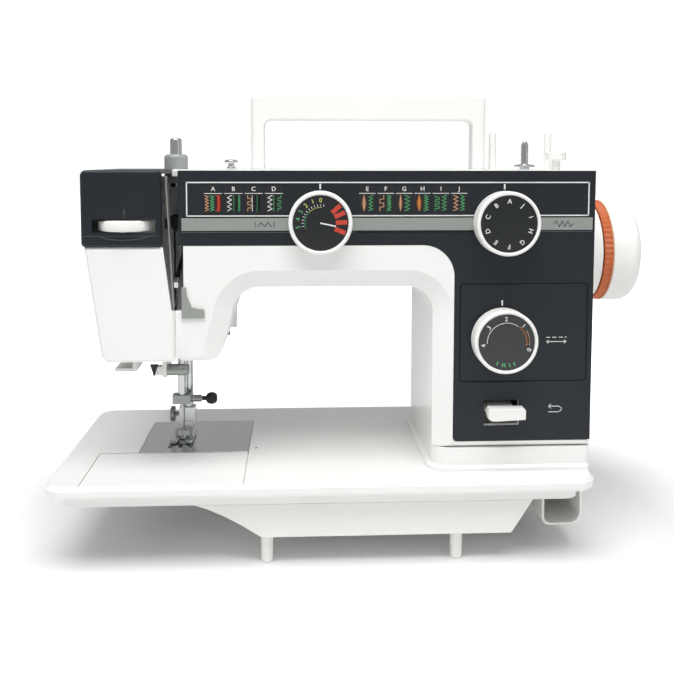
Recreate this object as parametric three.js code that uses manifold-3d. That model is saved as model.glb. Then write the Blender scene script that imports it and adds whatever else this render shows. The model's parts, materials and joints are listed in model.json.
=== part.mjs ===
// A flat-bed domestic sewing machine, in millimetres: +X to the handwheel, +Y to the back, +Z up.
// The origin is the middle of the footprint, at the height of the surface that the feet stand on.
import * as THREE from "three";
import { mergeVertices } from "three/addons/utils/BufferGeometryUtils.js";
import Module from "manifold-3d";

const wasm = await Module();
wasm.setup();

// ---------------------------------------------------------------- driving dimensions
const gap = 0.3; // left between pieces that touch
const fineSides = 24; // sides of a large turned piece
const coarseSides = 12; // sides of a pin or a screw

const bed = { left: -209.5, right: 161.5, front: -89, back: 89, top: 61, thick: 9, corner: 14 };
const rim = { inset: 10, wall: 5, bottom: 44 };
const arm = {
  front: -69,
  back: 51,
  underside: 188.8,
  castTop: 262,
  top: 268,
  headEnd: -121,
  wall: 4,
};
const column = { left: 51.7, right: 161.5, foot: 77.3, pedestalTop: 77 };
const head = { left: -182.8, right: -86, bottom: 139, lowLeft: -172.8, lowRight: -92.3, corner: 9, capBottom: 217 };
const panel = { left: -120.3, right: 161, bottom: 81.9, armBottom: 217.8, inner: 65.4, top: 267.8, thick: 2 };
const shaft = { y: 0, z: 207, radius: 5 };
const needle = { x: -129, y: 4, barRadius: 3.2 };
const presser = { x: -125.2, y: 14.5, barRadius: 3.5 };
const plate = { left: -157.4, right: -77.5, front: -22.7, back: 51, thick: 2.7 };
const cover = { left: -185.5, front: -86.4, thick: 3.7 };
const hook = { x: -129, z: 34, back: 7, depth: 16, radius: 17 };
const lower = { y: 20, z: 48, radius: 3.2, x0: -137, x1: 92, gear: 9.6, pinion: 4.1 };

// ---------------------------------------------------------------- materials
function finish(color, roughness, metalness) {
  return new THREE.MeshStandardMaterial({ color, roughness, metalness });
}

const whiteEnamel = finish(0xecebe8, 0.35, 0);
const whitePlastic = finish(0xf0efec, 0.4, 0);
const darkPlastic = finish(0x373c42, 0.4, 0);
const blackPlastic = finish(0x1d1e20, 0.45, 0);
const satinSilver = finish(0xa6aaa5, 0.4, 0.6);
const plateSteel = finish(0xa8aaa9, 0.45, 0.8);
const chrome = finish(0xc9ccce, 0.15, 1);
const steel = finish(0x9a9c9e, 0.35, 1);
const castMetal = finish(0x8b8e90, 0.6, 0.7);
const orangePlastic = finish(0xcd6e41, 0.5, 0);
const rubber = finish(0x222222, 0.8, 0);
const clearGlass = finish(0xe8ecec, 0.08, 0);
const greyPlastic = finish(0x8a8d8e, 0.45, 0.2);

// ---------------------------------------------------------------- shape helpers
function solidOf(geometry) {
  const bare = geometry.index ? geometry.toNonIndexed() : geometry.clone();
  bare.deleteAttribute("normal");
  bare.deleteAttribute("uv");
  const merged = mergeVertices(bare, 1e-4);
  return new wasm.Manifold(
    new wasm.Mesh({
      numProp: 3,
      vertProperties: merged.attributes.position.array,
      triVerts: new Uint32Array(merged.index.array),
    }),
  );
}

function geometryOf(solid) {
  const mesh = solid.getMesh();
  const geometry = new THREE.BufferGeometry();
  geometry.setAttribute("position", new THREE.BufferAttribute(mesh.vertProperties, mesh.numProp));
  geometry.setIndex(new THREE.BufferAttribute(mesh.triVerts, 1));
  const flatShaded = geometry.toNonIndexed();
  flatShaded.computeVertexNormals();
  return flatShaded;
}

function cut(base, ...tools) {
  return geometryOf(tools.reduce((solid, tool) => solid.subtract(solidOf(tool)), solidOf(base)));
}

function join(...pieces) {
  const [first, ...rest] = pieces.map(solidOf);
  return geometryOf(rest.reduce((solid, piece) => solid.add(piece), first));
}

// A box from its lowest corner to its highest.
function block(x0, y0, z0, x1, y1, z1) {
  const box = new THREE.BoxGeometry(x1 - x0, y1 - y0, z1 - z0);
  return box.translate((x0 + x1) / 2, (y0 + y1) / 2, (z0 + z1) / 2);
}

// A rectangle with its own radius at each corner, from the lower left, anticlockwise.
function roundedRectangle(x0, y0, x1, y1, radii) {
  const [a, b, c, d] = Array.isArray(radii) ? radii : [radii, radii, radii, radii];
  const shape = new THREE.Shape();
  shape.moveTo(x0 + a, y0);
  shape.lineTo(x1 - b, y0);
  if (b) shape.absarc(x1 - b, y0 + b, b, -Math.PI / 2, 0, false);
  shape.lineTo(x1, y1 - c);
  if (c) shape.absarc(x1 - c, y1 - c, c, 0, Math.PI / 2, false);
  shape.lineTo(x0 + d, y1);
  if (d) shape.absarc(x0 + d, y1 - d, d, Math.PI / 2, Math.PI, false);
  shape.lineTo(x0, y0 + a);
  if (a) shape.absarc(x0 + a, y0 + a, a, Math.PI, Math.PI * 1.5, false);
  return shape;
}

function extrude(shape, depth, bevel = 0, curveSegments = 4) {
  const options = { depth, bevelEnabled: false, curveSegments };
  if (bevel) {
    options.depth = depth - 2 * bevel;
    options.bevelEnabled = true;
    options.bevelThickness = bevel;
    options.bevelSize = bevel;
    options.bevelOffset = -bevel;
    options.bevelSegments = bevel > 3 ? 3 : 1;
  }
  return new THREE.ExtrudeGeometry(shape, options).translate(0, 0, bevel);
}

// A plan outline (x, y) raised from z0 to z1.
function raised(shape, z0, z1, bevel = 0, curveSegments = 4) {
  return extrude(shape, z1 - z0, bevel, curveSegments).translate(0, 0, z0);
}

// A front outline (x, z) that runs from yFront to yBack.
function frontal(shape, yFront, yBack, bevel = 0, curveSegments = 4) {
  return extrude(shape, yBack - yFront, bevel, curveSegments)
    .rotateX(Math.PI / 2)
    .translate(0, yBack, 0);
}

// A side outline (y, z) that runs from x0 to x1.
function sideways(shape, x0, x1, bevel = 0, curveSegments = 4) {
  const turn = new THREE.Matrix4().makeBasis(
    new THREE.Vector3(0, 1, 0),
    new THREE.Vector3(0, 0, 1),
    new THREE.Vector3(1, 0, 0),
  );
  return extrude(shape, x1 - x0, bevel, curveSegments).applyMatrix4(turn).translate(x0, 0, 0);
}

function outline(points) {
  return new THREE.Shape(points.map(([x, y]) => new THREE.Vector2(x, y)));
}

// A turned piece on its own Z axis, from pairs of radius and height, listed upwards.
function turned(profile, sides = fineSides) {
  const points = profile.map(([radius, height]) => new THREE.Vector2(radius, height));
  return new THREE.LatheGeometry(points, sides).rotateX(Math.PI / 2);
}

function rod(radius, z0, z1, sides = coarseSides) {
  return new THREE.CylinderGeometry(radius, radius, z1 - z0, sides)
    .rotateX(Math.PI / 2)
    .translate(0, 0, (z0 + z1) / 2);
}

// A ring between two radii and two heights.
function ring(inner, outer, z0, z1, sides = fineSides) {
  return turned(
    [
      [inner, z0],
      [outer, z0],
      [outer, z1],
      [inner, z1],
      [inner, z0],
    ],
    sides,
  );
}

const machine = new THREE.Group();

function place(group, name, geometry, material, position = [0, 0, 0], rotation = [0, 0, 0]) {
  const mesh = new THREE.Mesh(geometry, material);
  mesh.name = name;
  mesh.position.set(...position);
  mesh.rotation.set(...rotation);
  group.add(mesh);
  return mesh;
}

function newGroup(parent, position = [0, 0, 0]) {
  const group = new THREE.Group();
  group.position.set(...position);
  parent.add(group);
  return group;
}

const alongX = [0, Math.PI / 2, 0]; // turns a piece's own Z to the machine's +X
const towardFront = [Math.PI / 2, 0, 0]; // turns a piece's own Z to the machine's -Y

// ---------------------------------------------------------------- bed and base
const bedGroup = newGroup(machine);
const feet = { radius: 4.4, height: 20, xLeft: -62.5, xRight: 68.3, y: 69 };
const tray = { front: -78, back: 78, bottom: 20, top: 43.7, wall: 2.4, left: -112, right: 120 };

function makeBedPlate() {
  const top = raised(
    roundedRectangle(bed.left, bed.front, bed.right, bed.back, bed.corner),
    bed.top - bed.thick,
    bed.top,
    2.5,
  );
  const rimOuter = roundedRectangle(
    bed.left + rim.inset,
    bed.front + rim.inset,
    bed.right - rim.inset,
    bed.back - rim.inset,
    bed.corner - 4,
  );
  const inner = rim.inset + rim.wall;
  const rimInner = roundedRectangle(
    bed.left + inner,
    bed.front + inner,
    bed.right - inner,
    bed.back - inner,
    bed.corner - 8,
  );
  const skirt = cut(
    raised(rimOuter, rim.bottom, bed.top - bed.thick + 1),
    raised(rimInner, rim.bottom - 1, bed.top - bed.thick + 2),
  );
  const pedestal = raised(
    roundedRectangle(column.left, arm.front, column.right, arm.back, [12, 4, 4, 6]),
    bed.top - 2,
    column.pedestalTop,
  );
  const flare = raised(
    roundedRectangle(column.left - 3.5, arm.front - 2, column.right, arm.back + 2, [13, 4, 4, 7]),
    bed.top - 2,
    bed.top + 4,
    1.5,
  );
  const hollowPedestal = block(
    column.left + 8,
    arm.front + 8,
    rim.bottom - 1,
    column.right - 8,
    arm.back - 8,
    column.pedestalTop + 1,
  );
  const platePocket = block(
    plate.left - gap,
    plate.front - gap,
    bed.top - plate.thick - gap,
    plate.right + gap,
    plate.back + gap,
    bed.top + 1,
  );
  const coverPocket = block(
    cover.left - gap,
    cover.front - gap,
    bed.top - cover.thick - gap,
    plate.right + gap,
    plate.front + 1,
    bed.top + 1,
  );
  const wells = [
    [-178, -74, -84, plate.front - 1.5],
    [-151, -26, -84, 44],
  ].map(([x0, y0, x1, y1]) => block(x0, y0, rim.bottom - 1, x1, y1, bed.top + 1));
  return cut(join(top, skirt, flare, pedestal), hollowPedestal, platePocket, coverPocket, ...wells);
}
place(bedGroup, "bed_plate", makeBedPlate(), whiteEnamel);

function trayOutline(offset) {
  const shape = new THREE.Shape();
  const low = tray.bottom + offset;
  const high = tray.top + (offset ? 2 : 0);
  shape.moveTo(-66 + offset * 0.4, low);
  shape.lineTo(105 - offset * 0.4, low);
  shape.lineTo(tray.right - offset, high);
  shape.lineTo(tray.left + offset, high);
  shape.quadraticCurveTo(-92 + offset, 38, -66 + offset * 0.4, low);
  return shape;
}

function makeBaseTray() {
  const shell = frontal(trayOutline(0), tray.front, tray.back);
  const hollow = frontal(trayOutline(tray.wall), tray.front + tray.wall, tray.back - tray.wall);
  return cut(shell, hollow);
}
place(bedGroup, "base_tray", makeBaseTray(), whitePlastic);

function makeFoot() {
  return turned([
    [0, 0],
    [feet.radius - 0.9, 0],
    [feet.radius - 0.3, 0.7],
    [feet.radius, feet.height - gap],
    [0, feet.height - gap],
  ], coarseSides);
}
for (const [side, x] of [["left", feet.xLeft], ["right", feet.xRight]]) {
  for (const [end, y] of [["front", -feet.y], ["rear", feet.y]]) {
    place(bedGroup, `foot_${end}_${side}`, makeFoot(), whitePlastic, [x, y, 0]);
  }
}

// The carrying shell under the right end: open at the front, with its floor and right wall rounded.
const pocket = { x0: 131, x1: 160, z0: 17, z1: 51.7, front: -60, back: 40, wall: 2 };
function makeSocketHousing() {
  const outer = roundedRectangle(pocket.x0, pocket.z0, pocket.x1, pocket.z1, [6, 9, 0, 0]);
  const inner = roundedRectangle(
    pocket.x0 + pocket.wall,
    pocket.z0 + pocket.wall,
    pocket.x1 - pocket.wall,
    pocket.z1 - pocket.wall,
    [4, 7, 0, 0],
  );
  const shell = frontal(outer, pocket.front, pocket.back);
  const rimSpace = block(
    bed.right - rim.inset - rim.wall - gap,
    pocket.front - 1,
    rim.bottom - gap,
    bed.right - rim.inset + gap,
    pocket.back + 1,
    pocket.z1 + 1,
  );
  return cut(shell, frontal(inner, pocket.front - 1, pocket.back - pocket.wall), rimSpace);
}
place(bedGroup, "socket_housing", makeSocketHousing(), whitePlastic);

// Needle plate with the needle slot and three rows for the feed teeth.
const feed = { rows: [-7.5, 0, 7.5], width: 2.6, front: -12, back: 14, tooth: 2 };
function makeNeedlePlate() {
  const sheet = raised(
    roundedRectangle(plate.left, plate.front, plate.right, plate.back - gap, 1),
    bed.top - plate.thick,
    bed.top,
  );
  const slots = feed.rows.map((dx) => {
    const x = needle.x + dx;
    const reach = dx ? feed.back : needle.y - 3;
    return block(x - feed.width / 2, feed.front, bed.top - 4, x + feed.width / 2, reach, bed.top + 1);
  });
  const needleSlot = block(needle.x - 4, needle.y - 1, bed.top - 4, needle.x + 4, needle.y + 1, bed.top + 1);
  return cut(sheet, ...slots, needleSlot);
}
place(bedGroup, "needle_plate", makeNeedlePlate(), plateSteel);

function makeHookCover() {
  return raised(
    roundedRectangle(cover.left, cover.front, plate.right, plate.front - 2 * gap, 1),
    bed.top - cover.thick,
    bed.top,
    0.5,
  );
}
place(bedGroup, "hook_cover", makeHookCover(), whiteEnamel);

// Feed dogs: two toothed rows on a base, carried by a frame that moves to and fro under the plate.
const carrier = { left: -146, right: -112, front: -15, back: 36, z0: 51.6, z1: 53.4, rail: 5 };
function makeFeedDogs() {
  const { left, right, front, back, z0, z1, rail } = carrier;
  const frame = join(
    block(left, front, z0, left + rail, back, z1),
    block(right - rail, front, z0, right, back, z1),
    block(left, front, z0, right, front + rail - 1.5, z1),
    block(left, back - rail, z0, right, back, z1),
  );
  const riser = block(needle.x - 10, front, z1 - 1, needle.x + 10, front + rail - 1.5, 56);
  const base = block(needle.x - 10, front, 54, needle.x + 10, 7.5, 56.5);
  const teeth = feed.rows
    .filter((dx) => dx !== 0)
    .map((dx) => {
      const x = needle.x + dx;
      const start = feed.front + feed.tooth;
      return block(x - 0.9, start, 54, x + 0.9, feed.back - feed.tooth, bed.top + 0.2);
    });
  const slot = block(needle.x - 5, needle.y - 2, 53, needle.x + 5, needle.y + 2, bed.top);
  return cut(join(frame, riser, base, ...teeth), slot);
}
place(bedGroup, "feed_dogs", makeFeedDogs(), steel);

// ---------------------------------------------------------------- shuttle and lower shaft
const shuttleGroup = newGroup(bedGroup, [hook.x, hook.back, hook.z]);

// Each shuttle piece is turned on its own Z axis, which points to the front of the machine.
function makeHookRace() {
  const needleGap = block(-4, 6, -1, 4, hook.radius + 2, hook.depth + 1);
  return cut(ring(hook.radius - 2.5, hook.radius, 0, hook.depth), needleGap);
}
place(shuttleGroup, "hook_race", makeHookRace(), castMetal, [0, 0, 0], towardFront);

// The shuttle with the disc, spindle and pinion that drive it.
function makeShuttleHook() {
  const crescent = cut(ring(11, 14.2, -2, 14), block(-30, -30, 4.2, 0, 4, 15), block(-2.5, 4, 1, 2.5, 16, 4.2));
  const gearBack = hook.back - lower.y - 4;
  const spindle = rod(2.6, gearBack - 8, -2);
  const disc = rod(12.5, -3, -1, fineSides);
  return join(crescent, spindle, disc, rod(lower.pinion, gearBack, gearBack + 8, 24));
}
place(shuttleGroup, "shuttle_hook", makeShuttleHook(), chrome, [0, 0, 0], towardFront);

function makeBobbinCase() {
  const cup = cut(rod(10.7, 4.6, 15.6, fineSides), rod(10, 5.6, 17, fineSides));
  return cut(cup, block(-2, 6, 12, 2, 14, 17));
}
place(shuttleGroup, "bobbin_case", makeBobbinCase(), chrome, [0, 0, 0], towardFront);

function makeBobbin() {
  const flange = 9.6;
  const core = 3.9;
  const bore = 2.8;
  const profile = [
    [bore, 6],
    [flange, 6],
    [flange, 6.9],
    [core, 7.3],
    [core, 14.3],
    [flange, 14.7],
    [flange, 15.6],
    [bore, 15.6],
    [bore, 6],
  ];
  return turned(profile, 16);
}
place(shuttleGroup, "bobbin", makeBobbin(), clearGlass, [0, 0, 0], towardFront);

// The lower shaft rocks on its arm, and its skew gear swings the shuttle.
const link = { x0: 61.6, x1: 65.4, y: 34, z: 48 };
function makeLowerShaft() {
  const gear = rod(lower.gear, hook.x - 4, hook.x + 4, fineSides);
  const rocker = raised(roundedRectangle(-4.2, -20, 4.2, 4.2, 4), link.x1 + gap, link.x1 + 4, 0, 4);
  const pin = rod(2, link.x0 - 1, link.x1 + 2).translate(0, lower.y - link.y, 0);
  return join(rod(lower.radius, lower.x0, lower.x1), gear, rocker, pin);
}
place(bedGroup, "lower_shaft", makeLowerShaft(), steel, [0, lower.y, lower.z], [0, Math.PI / 2, Math.PI]);

// ---------------------------------------------------------------- column, arm and head casting
const armGroup = newGroup(machine);
const throat = { right: 18, left: 20, flare: 12, flareDepth: 7 };
const throatSegments = 12;
const slot = { left: -131, right: -120.3, lowLeft: -125.4, bottom: 174 };

// The front outline of the casting, grown inwards by the wall thickness for the hollow.
function castingOutline(offset) {
  const shape = new THREE.Shape();
  const left = arm.headEnd - (offset ? 20 : 0);
  const low = arm.underside + offset;
  const rightRadius = throat.right + offset;
  const leftRadius = throat.left + offset;
  const xCol = column.left + offset;
  const xHead = head.right - offset;
  shape.moveTo(xCol, column.foot - (offset ? 20 : 0));
  shape.lineTo(column.right - offset, column.foot - (offset ? 20 : 0));
  shape.lineTo(column.right - offset, arm.castTop + (offset ? 20 : 0));
  shape.lineTo(left, arm.castTop + (offset ? 20 : 0));
  shape.lineTo(left, head.bottom + offset);
  const corner = head.corner - (offset ? 3 : 0);
  const xCorner = head.lowRight - offset - corner;
  shape.lineTo(xCorner, head.bottom + offset);
  shape.absarc(xCorner, head.bottom + offset + corner, corner, -Math.PI / 2, 0, false);
  shape.lineTo(xHead, low - leftRadius);
  shape.absarc(xHead + leftRadius, low - leftRadius, leftRadius, Math.PI, Math.PI / 2, true);
  shape.lineTo(xCol - rightRadius, low);
  shape.absarc(xCol - rightRadius, low - rightRadius, rightRadius, Math.PI / 2, 0, true);
  shape.lineTo(xCol, column.foot - (offset ? 20 : 0));
  return shape;
}

// The dark panel's L: an arm strip and a column strip with a large inner corner.
function panelOutline(grow) {
  const shape = new THREE.Shape();
  const inner = 22 - grow;
  const right = panel.right + (grow ? 2 : 0);
  const top = panel.top + (grow ? 2 : 0);
  const left = panel.left - (grow ? 2 : 0);
  shape.moveTo(panel.inner - grow + 3, panel.bottom - grow);
  shape.lineTo(right, panel.bottom - grow);
  shape.lineTo(right, top);
  shape.lineTo(left, top);
  shape.lineTo(left, panel.armBottom - grow);
  shape.lineTo(panel.inner - grow - inner, panel.armBottom - grow);
  shape.absarc(
    panel.inner - grow - inner,
    panel.armBottom - grow - inner,
    inner,
    Math.PI / 2,
    0,
    true,
  );
  shape.lineTo(panel.inner - grow, panel.bottom - grow + 3);
  shape.absarc(panel.inner - grow + 3, panel.bottom - grow + 3, 3, Math.PI, Math.PI * 1.5, false);
  return shape;
}

const dials = {
  width: { x: -25.9, z: 233.4, radius: 21.2, depth: 10.5 },
  selector: { x: 98.5, z: 232.8, radius: 21.5, depth: 15 },
  length: { x: 98.1, z: 153.6, radius: 21.5, depth: 15 },
};
const dialShaft = 2.5;
const reverse = { x0: 86.7, x1: 111.3, z0: 92.3, z1: 110.3, pivotY: -52, z: 101.3 };

// Holes along Y for the dial spindles, through whatever stands between two depths.
function dialHoles(yFront, yBack, names = Object.keys(dials)) {
  return names.map((name) => {
    const { x, z } = dials[name];
    return rod(dialShaft + 0.7, 0, yBack - yFront).rotateX(Math.PI / 2).translate(x, yBack, z);
  });
}

const reverseHole = (yFront, yBack) =>
  block(reverse.x0, yFront, reverse.z0, reverse.x1, yBack, reverse.z1);

const lifter = { x: -104, z: 150 };
const handle = {
  left: -75.7,
  right: 102,
  top: 324.6,
  bar: 19.8,
  leg: 10,
  depth: 16,
  y: 14,
  pivotZ: 262,
};

// The cutter that slopes the front edge of the throat: it narrows from the front to the outline.
function makeThroatFlare() {
  const shape = new THREE.Shape();
  const below = column.foot - 20;
  shape.moveTo(column.left, below);
  shape.lineTo(column.left, arm.underside - throat.right);
  shape.absarc(
    column.left - throat.right,
    arm.underside - throat.right,
    throat.right,
    0,
    Math.PI / 2,
    false,
  );
  shape.lineTo(head.right + throat.left, arm.underside);
  shape.absarc(
    head.right + throat.left,
    arm.underside - throat.left,
    throat.left,
    Math.PI / 2,
    Math.PI,
    false,
  );
  shape.lineTo(head.lowRight, head.bottom + head.corner);
  shape.lineTo(head.lowRight, below);
  const flare = new THREE.ExtrudeGeometry(shape, {
    depth: 10,
    bevelEnabled: true,
    bevelThickness: throat.flareDepth,
    bevelSize: throat.flare,
    bevelSegments: 1,
    curveSegments: throatSegments,
  });
  return flare.rotateX(Math.PI / 2).translate(0, arm.front, 0);
}

function makeArmCasting() {
  const shell = frontal(castingOutline(0), arm.front, arm.back, 5, throatSegments);
  const hollow = frontal(castingOutline(arm.wall), arm.front + 6, arm.back + 10, 0, 7);
  const rearWing = block(head.left, arm.back - 4, head.bottom + 1, -90, arm.back, arm.castTop);
  const panelPocket = frontal(panelOutline(gap), arm.front - 1, arm.front + panel.thick, 0, throatSegments);
  const slotRelief = block(arm.headEnd - 1, arm.front - 1, slot.bottom, slot.right + 3, arm.front + 30, 300);
  const shaftHole = rod(9, column.right - 10, column.right + 10, 20)
    .rotateY(Math.PI / 2)
    .translate(0, shaft.y, shaft.z);
  const lifterHole = rod(3.4, -60, -40).rotateX(Math.PI / 2).translate(lifter.x, 0, lifter.z);
  const body = cut(shell, hollow);
  return cut(
    join(body, rearWing),
    makeThroatFlare(),
    panelPocket,
    slotRelief,
    shaftHole,
    lifterHole,
    reverseHole(arm.front - 1, arm.front + 20),
    ...dialHoles(arm.front - 1, arm.front + 20),
  );
}
place(armGroup, "arm_casting", makeArmCasting(), whiteEnamel);

function makeRearCover() {
  const shape = new THREE.Shape();
  const left = -88;
  const edge = arm.wall + gap;
  const right = column.right - edge;
  const radius = throat.right + edge;
  const xCol = column.left + edge;
  const low = arm.underside + edge;
  shape.moveTo(xCol, column.foot + 1);
  shape.lineTo(right, column.foot + 1);
  shape.lineTo(right, arm.castTop - 1);
  shape.lineTo(left, arm.castTop - 1);
  shape.lineTo(left, low);
  shape.lineTo(xCol - radius, low);
  shape.absarc(xCol - radius, low - radius, radius, Math.PI / 2, 0, true);
  shape.lineTo(xCol, column.foot + 1);
  const vents = [0, 1, 2, 3, 4, 5].map((row) =>
    block(75, arm.back - 10, 96 + row * 8, 140, arm.back + 5, 99 + row * 8),
  );
  return cut(frontal(shape, arm.back - 3, arm.back, 0, 7), ...vents, ...handleSlots(250, 270));
}

// Room for the handle's legs as it folds to the back.
function handleSlots(z0, z1) {
  const side = 1;
  return [handle.left, handle.right - handle.leg].map((x) =>
    block(x - side, handle.y - handle.depth / 2 - 1, z0, x + handle.leg + side, arm.back + 5, z1),
  );
}
place(armGroup, "rear_cover", makeRearCover(), whitePlastic);

function makeTopCover() {
  const edge = 0.6;
  const shape = outline([
    [slot.left + gap, -22],
    [slot.left + gap, arm.back],
    [column.right - edge, arm.back],
    [column.right - edge, arm.front + panel.thick + gap],
    [panel.left, arm.front + panel.thick + gap],
    [panel.left, -22],
  ]);
  const sleeveHole = rod(regulator.radius + gap, arm.castTop - 10, arm.top + 10, 24).translate(
    regulator.x,
    regulator.y,
    0,
  );
  const pinHoles = spoolPins.xs.map((x) =>
    rod(spoolPins.radius + 0.5, arm.castTop - 5, arm.top + 5, 20).translate(x, spoolPins.y, 0),
  );
  const winderSlot = block(
    winder.x - 4.2,
    winder.y - 4.2,
    arm.castTop - 5,
    winder.x + 8.5,
    winder.y + 4.2,
    arm.top + 5,
  );
  return cut(
    raised(shape, arm.castTop + gap, arm.top, 1),
    sleeveHole,
    winderSlot,
    ...pinHoles,
    ...handleSlots(arm.castTop - 5, arm.top + 5),
  );
}
const regulator = { x: -129.8, y: -6, radius: 8.5, top: 279, pinRadius: 4.2, pinTop: 290.6 };
const spoolPins = { xs: [109, 152], y: 14, radius: 2.75, top: 296.8, bottom: 228 };
const winder = { x: 124.6, y: -21, top: 288.4 };
const stopper = { x: 146.5, y: -26, radius: 7, z0: 275, z1: 281 };
place(armGroup, "top_cover", makeTopCover(), whitePlastic);

// ---------------------------------------------------------------- front panel
const door = { x0: 69, x1: 157.4, z0: 123.2, z1: 191.4, corner: 3, groove: 0.8 };
function makeFrontPanel() {
  const sheet = frontal(panelOutline(0), arm.front, arm.front + panel.thick - gap, 0, throatSegments);
  const { x0, x1, z0, z1, corner, groove } = door;
  const grooveRing = cut(
    frontal(roundedRectangle(x0, z0, x1, z1, corner), arm.front - 1, arm.front + groove),
    frontal(
      roundedRectangle(x0 + groove, z0 + groove, x1 - groove, z1 - groove, corner - groove),
      arm.front - 2,
      arm.front + groove + 1,
    ),
  );
  return cut(
    sheet,
    grooveRing,
    reverseHole(arm.front - 5, arm.front + 5),
    ...dialHoles(arm.front - 5, arm.front + 5),
  );
}
place(armGroup, "front_panel", makeFrontPanel(), darkPlastic);

const band = { x0: -118, x1: 159, z0: 227.8, z1: 236.2, thick: 0.7 };
function makeTrimBand() {
  const strip = block(
    band.x0,
    arm.front - gap - band.thick,
    band.z0,
    band.x1,
    arm.front - gap,
    band.z1,
  );
  return cut(strip, ...dialHoles(arm.front - 5, arm.front + 5, ["width", "selector"]));
}
place(armGroup, "trim_band", makeTrimBand(), satinSilver);

// ---------------------------------------------------------------- dials and reverse lever
function makeDial({ radius, depth }) {
  const skirt = 2.6;
  const back = band.thick + 2 * gap; // clear of the band behind it
  const reach = -16; // the spindle's inner end
  return turned([
    [0, reach],
    [dialShaft, reach],
    [dialShaft, back],
    [radius - 1.2, back],
    [radius, back + 2],
    [radius, depth - 2],
    [radius - 1.2, depth],
    [radius - skirt, depth],
    [radius - skirt - 0.6, depth - 0.8],
    [0, depth - 0.8],
  ], 20);
}
for (const [name, dial] of Object.entries(dials)) {
  place(armGroup, `${name}_dial`, makeDial(dial), whitePlastic, [dial.x, arm.front, dial.z], towardFront);
}

function makeReverseLever() {
  const bar = block(reverse.x0 + 4, -76, reverse.z - 1, reverse.x1 - 4, reverse.pivotY, reverse.z + 4.6);
  const paddle = frontal(
    outline([
      [reverse.x0, reverse.z + 3.4],
      [reverse.x0 + 0.6, reverse.z - 0.6],
      [reverse.x0 + 3.4, reverse.z - 2],
      [reverse.x1 + 1, reverse.z - 1],
      [reverse.x1 + 1, reverse.z + 5.6],
      [reverse.x1, reverse.z + 6.6],
      [reverse.x0 + 0.8, reverse.z + 6.6],
    ]),
    arm.front - 13,
    arm.front - 5,
  );
  const pivot = rod(4, reverse.x0 + 2, reverse.x1 - 2)
    .rotateY(Math.PI / 2)
    .translate(0, reverse.pivotY, reverse.z);
  return join(bar, paddle, pivot);
}
place(armGroup, "reverse_lever", makeReverseLever(), whitePlastic);

// ---------------------------------------------------------------- head: cap, face cover, tension
const headGroup = newGroup(armGroup);
const capBox = { left: -184.3, right: slot.left, bottom: head.capBottom, top: arm.top, wall: 2.5, back: 46.5 };
const tension = { x: -156.1, y: -54, z: 230.9, radius: 20, thick: 7.4 };

function makeHeadCap() {
  const outer = roundedRectangle(capBox.left, capBox.bottom, capBox.right, capBox.top, [2.5, 2.5, 3, 4]);
  const inner = roundedRectangle(
    capBox.left + capBox.wall,
    capBox.bottom - 5,
    capBox.right + 5,
    capBox.top - capBox.wall,
    [0, 0, 0, 3],
  );
  const shell = frontal(outer, arm.front - 0.6, capBox.back, 1.5, 4);
  const hollow = frontal(inner, arm.front + capBox.wall, capBox.back + 5, 0, 4);
  const sleeveHole = rod(regulator.radius + gap, 240, 290, 24).translate(regulator.x, regulator.y, 0);
  const wheelSlot = block(
    tension.x - tension.radius - 0.8,
    arm.front - 5,
    tension.z - tension.thick / 2 - 0.8,
    tension.x + tension.radius + 0.8,
    arm.front + 5,
    tension.z + tension.thick / 2 + 0.8,
  );
  return cut(shell, hollow, sleeveHole, wheelSlot);
}
place(headGroup, "head_cap", makeHeadCap(), darkPlastic);

// The lower end cover, open to the right and below, that swings away to the left.
const face = { right: -123.3, wall: 2.5, top: head.capBottom - gap, back: 44 };
function makeFaceCover() {
  const outer = outline([
    [head.lowLeft + 4, head.bottom],
    [face.right, head.bottom],
    [face.right, face.top],
    [head.left, face.top],
    [head.lowLeft, head.bottom + 4],
  ]);
  const inner = outline([
    [head.lowLeft + 6, head.bottom - 5],
    [face.right + 5, head.bottom - 5],
    [face.right + 5, face.top + 5],
    [head.left + face.wall, face.top + 5],
    [head.left + face.wall, face.top],
    [head.lowLeft + face.wall, head.bottom + 4],
  ]);
  const shell = frontal(outer, arm.front, face.back, 2, 6);
  const hollow = frontal(inner, arm.front + face.wall, face.back + 5);
  const slotSide = frontal(
    outline([
      [slot.lowLeft, slot.bottom],
      [face.right + 1, slot.bottom],
      [face.right + 1, face.top + 2],
      [slot.left, face.top + 2],
    ]),
    arm.front - 2,
    arm.front + 10,
  );
  return cut(shell, hollow, slotSide);
}
place(headGroup, "face_cover", makeFaceCover(), whiteEnamel);

function makeTensionDial() {
  const { radius, thick } = tension;
  const profile = [
    [2.2, -thick / 2],
    [radius - 0.8, -thick / 2],
    [radius, -thick / 2 + 0.8],
    [radius, thick / 2 - 0.8],
    [radius - 0.8, thick / 2],
    [2.2, thick / 2],
    [2.2, -thick / 2],
  ];
  return turned(profile, 28);
}
place(headGroup, "tension_dial", makeTensionDial(), whitePlastic, [tension.x, tension.y, tension.z]);

// The tension discs on their stud.
function makeTensionDiscs() {
  const low = tension.z - 9;
  const high = tension.z + 16;
  const post = rod(1.9, low, high);
  const discs = [7.8, 9.4].map((rise) => rod(7.5, tension.z + rise, tension.z + rise + 1, 20));
  const spacer = rod(4, tension.z + 5.8, tension.z + 12.8, 20);
  const arm1 = block(-20, -4, low - 2, 2, 4, low + 0.5);
  return join(post, rod(6, low - 2, low + 0.5, 24), spacer, arm1, ...discs);
}
place(headGroup, "tension_discs", makeTensionDiscs(), steel, [tension.x, tension.y, 0]);

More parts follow.
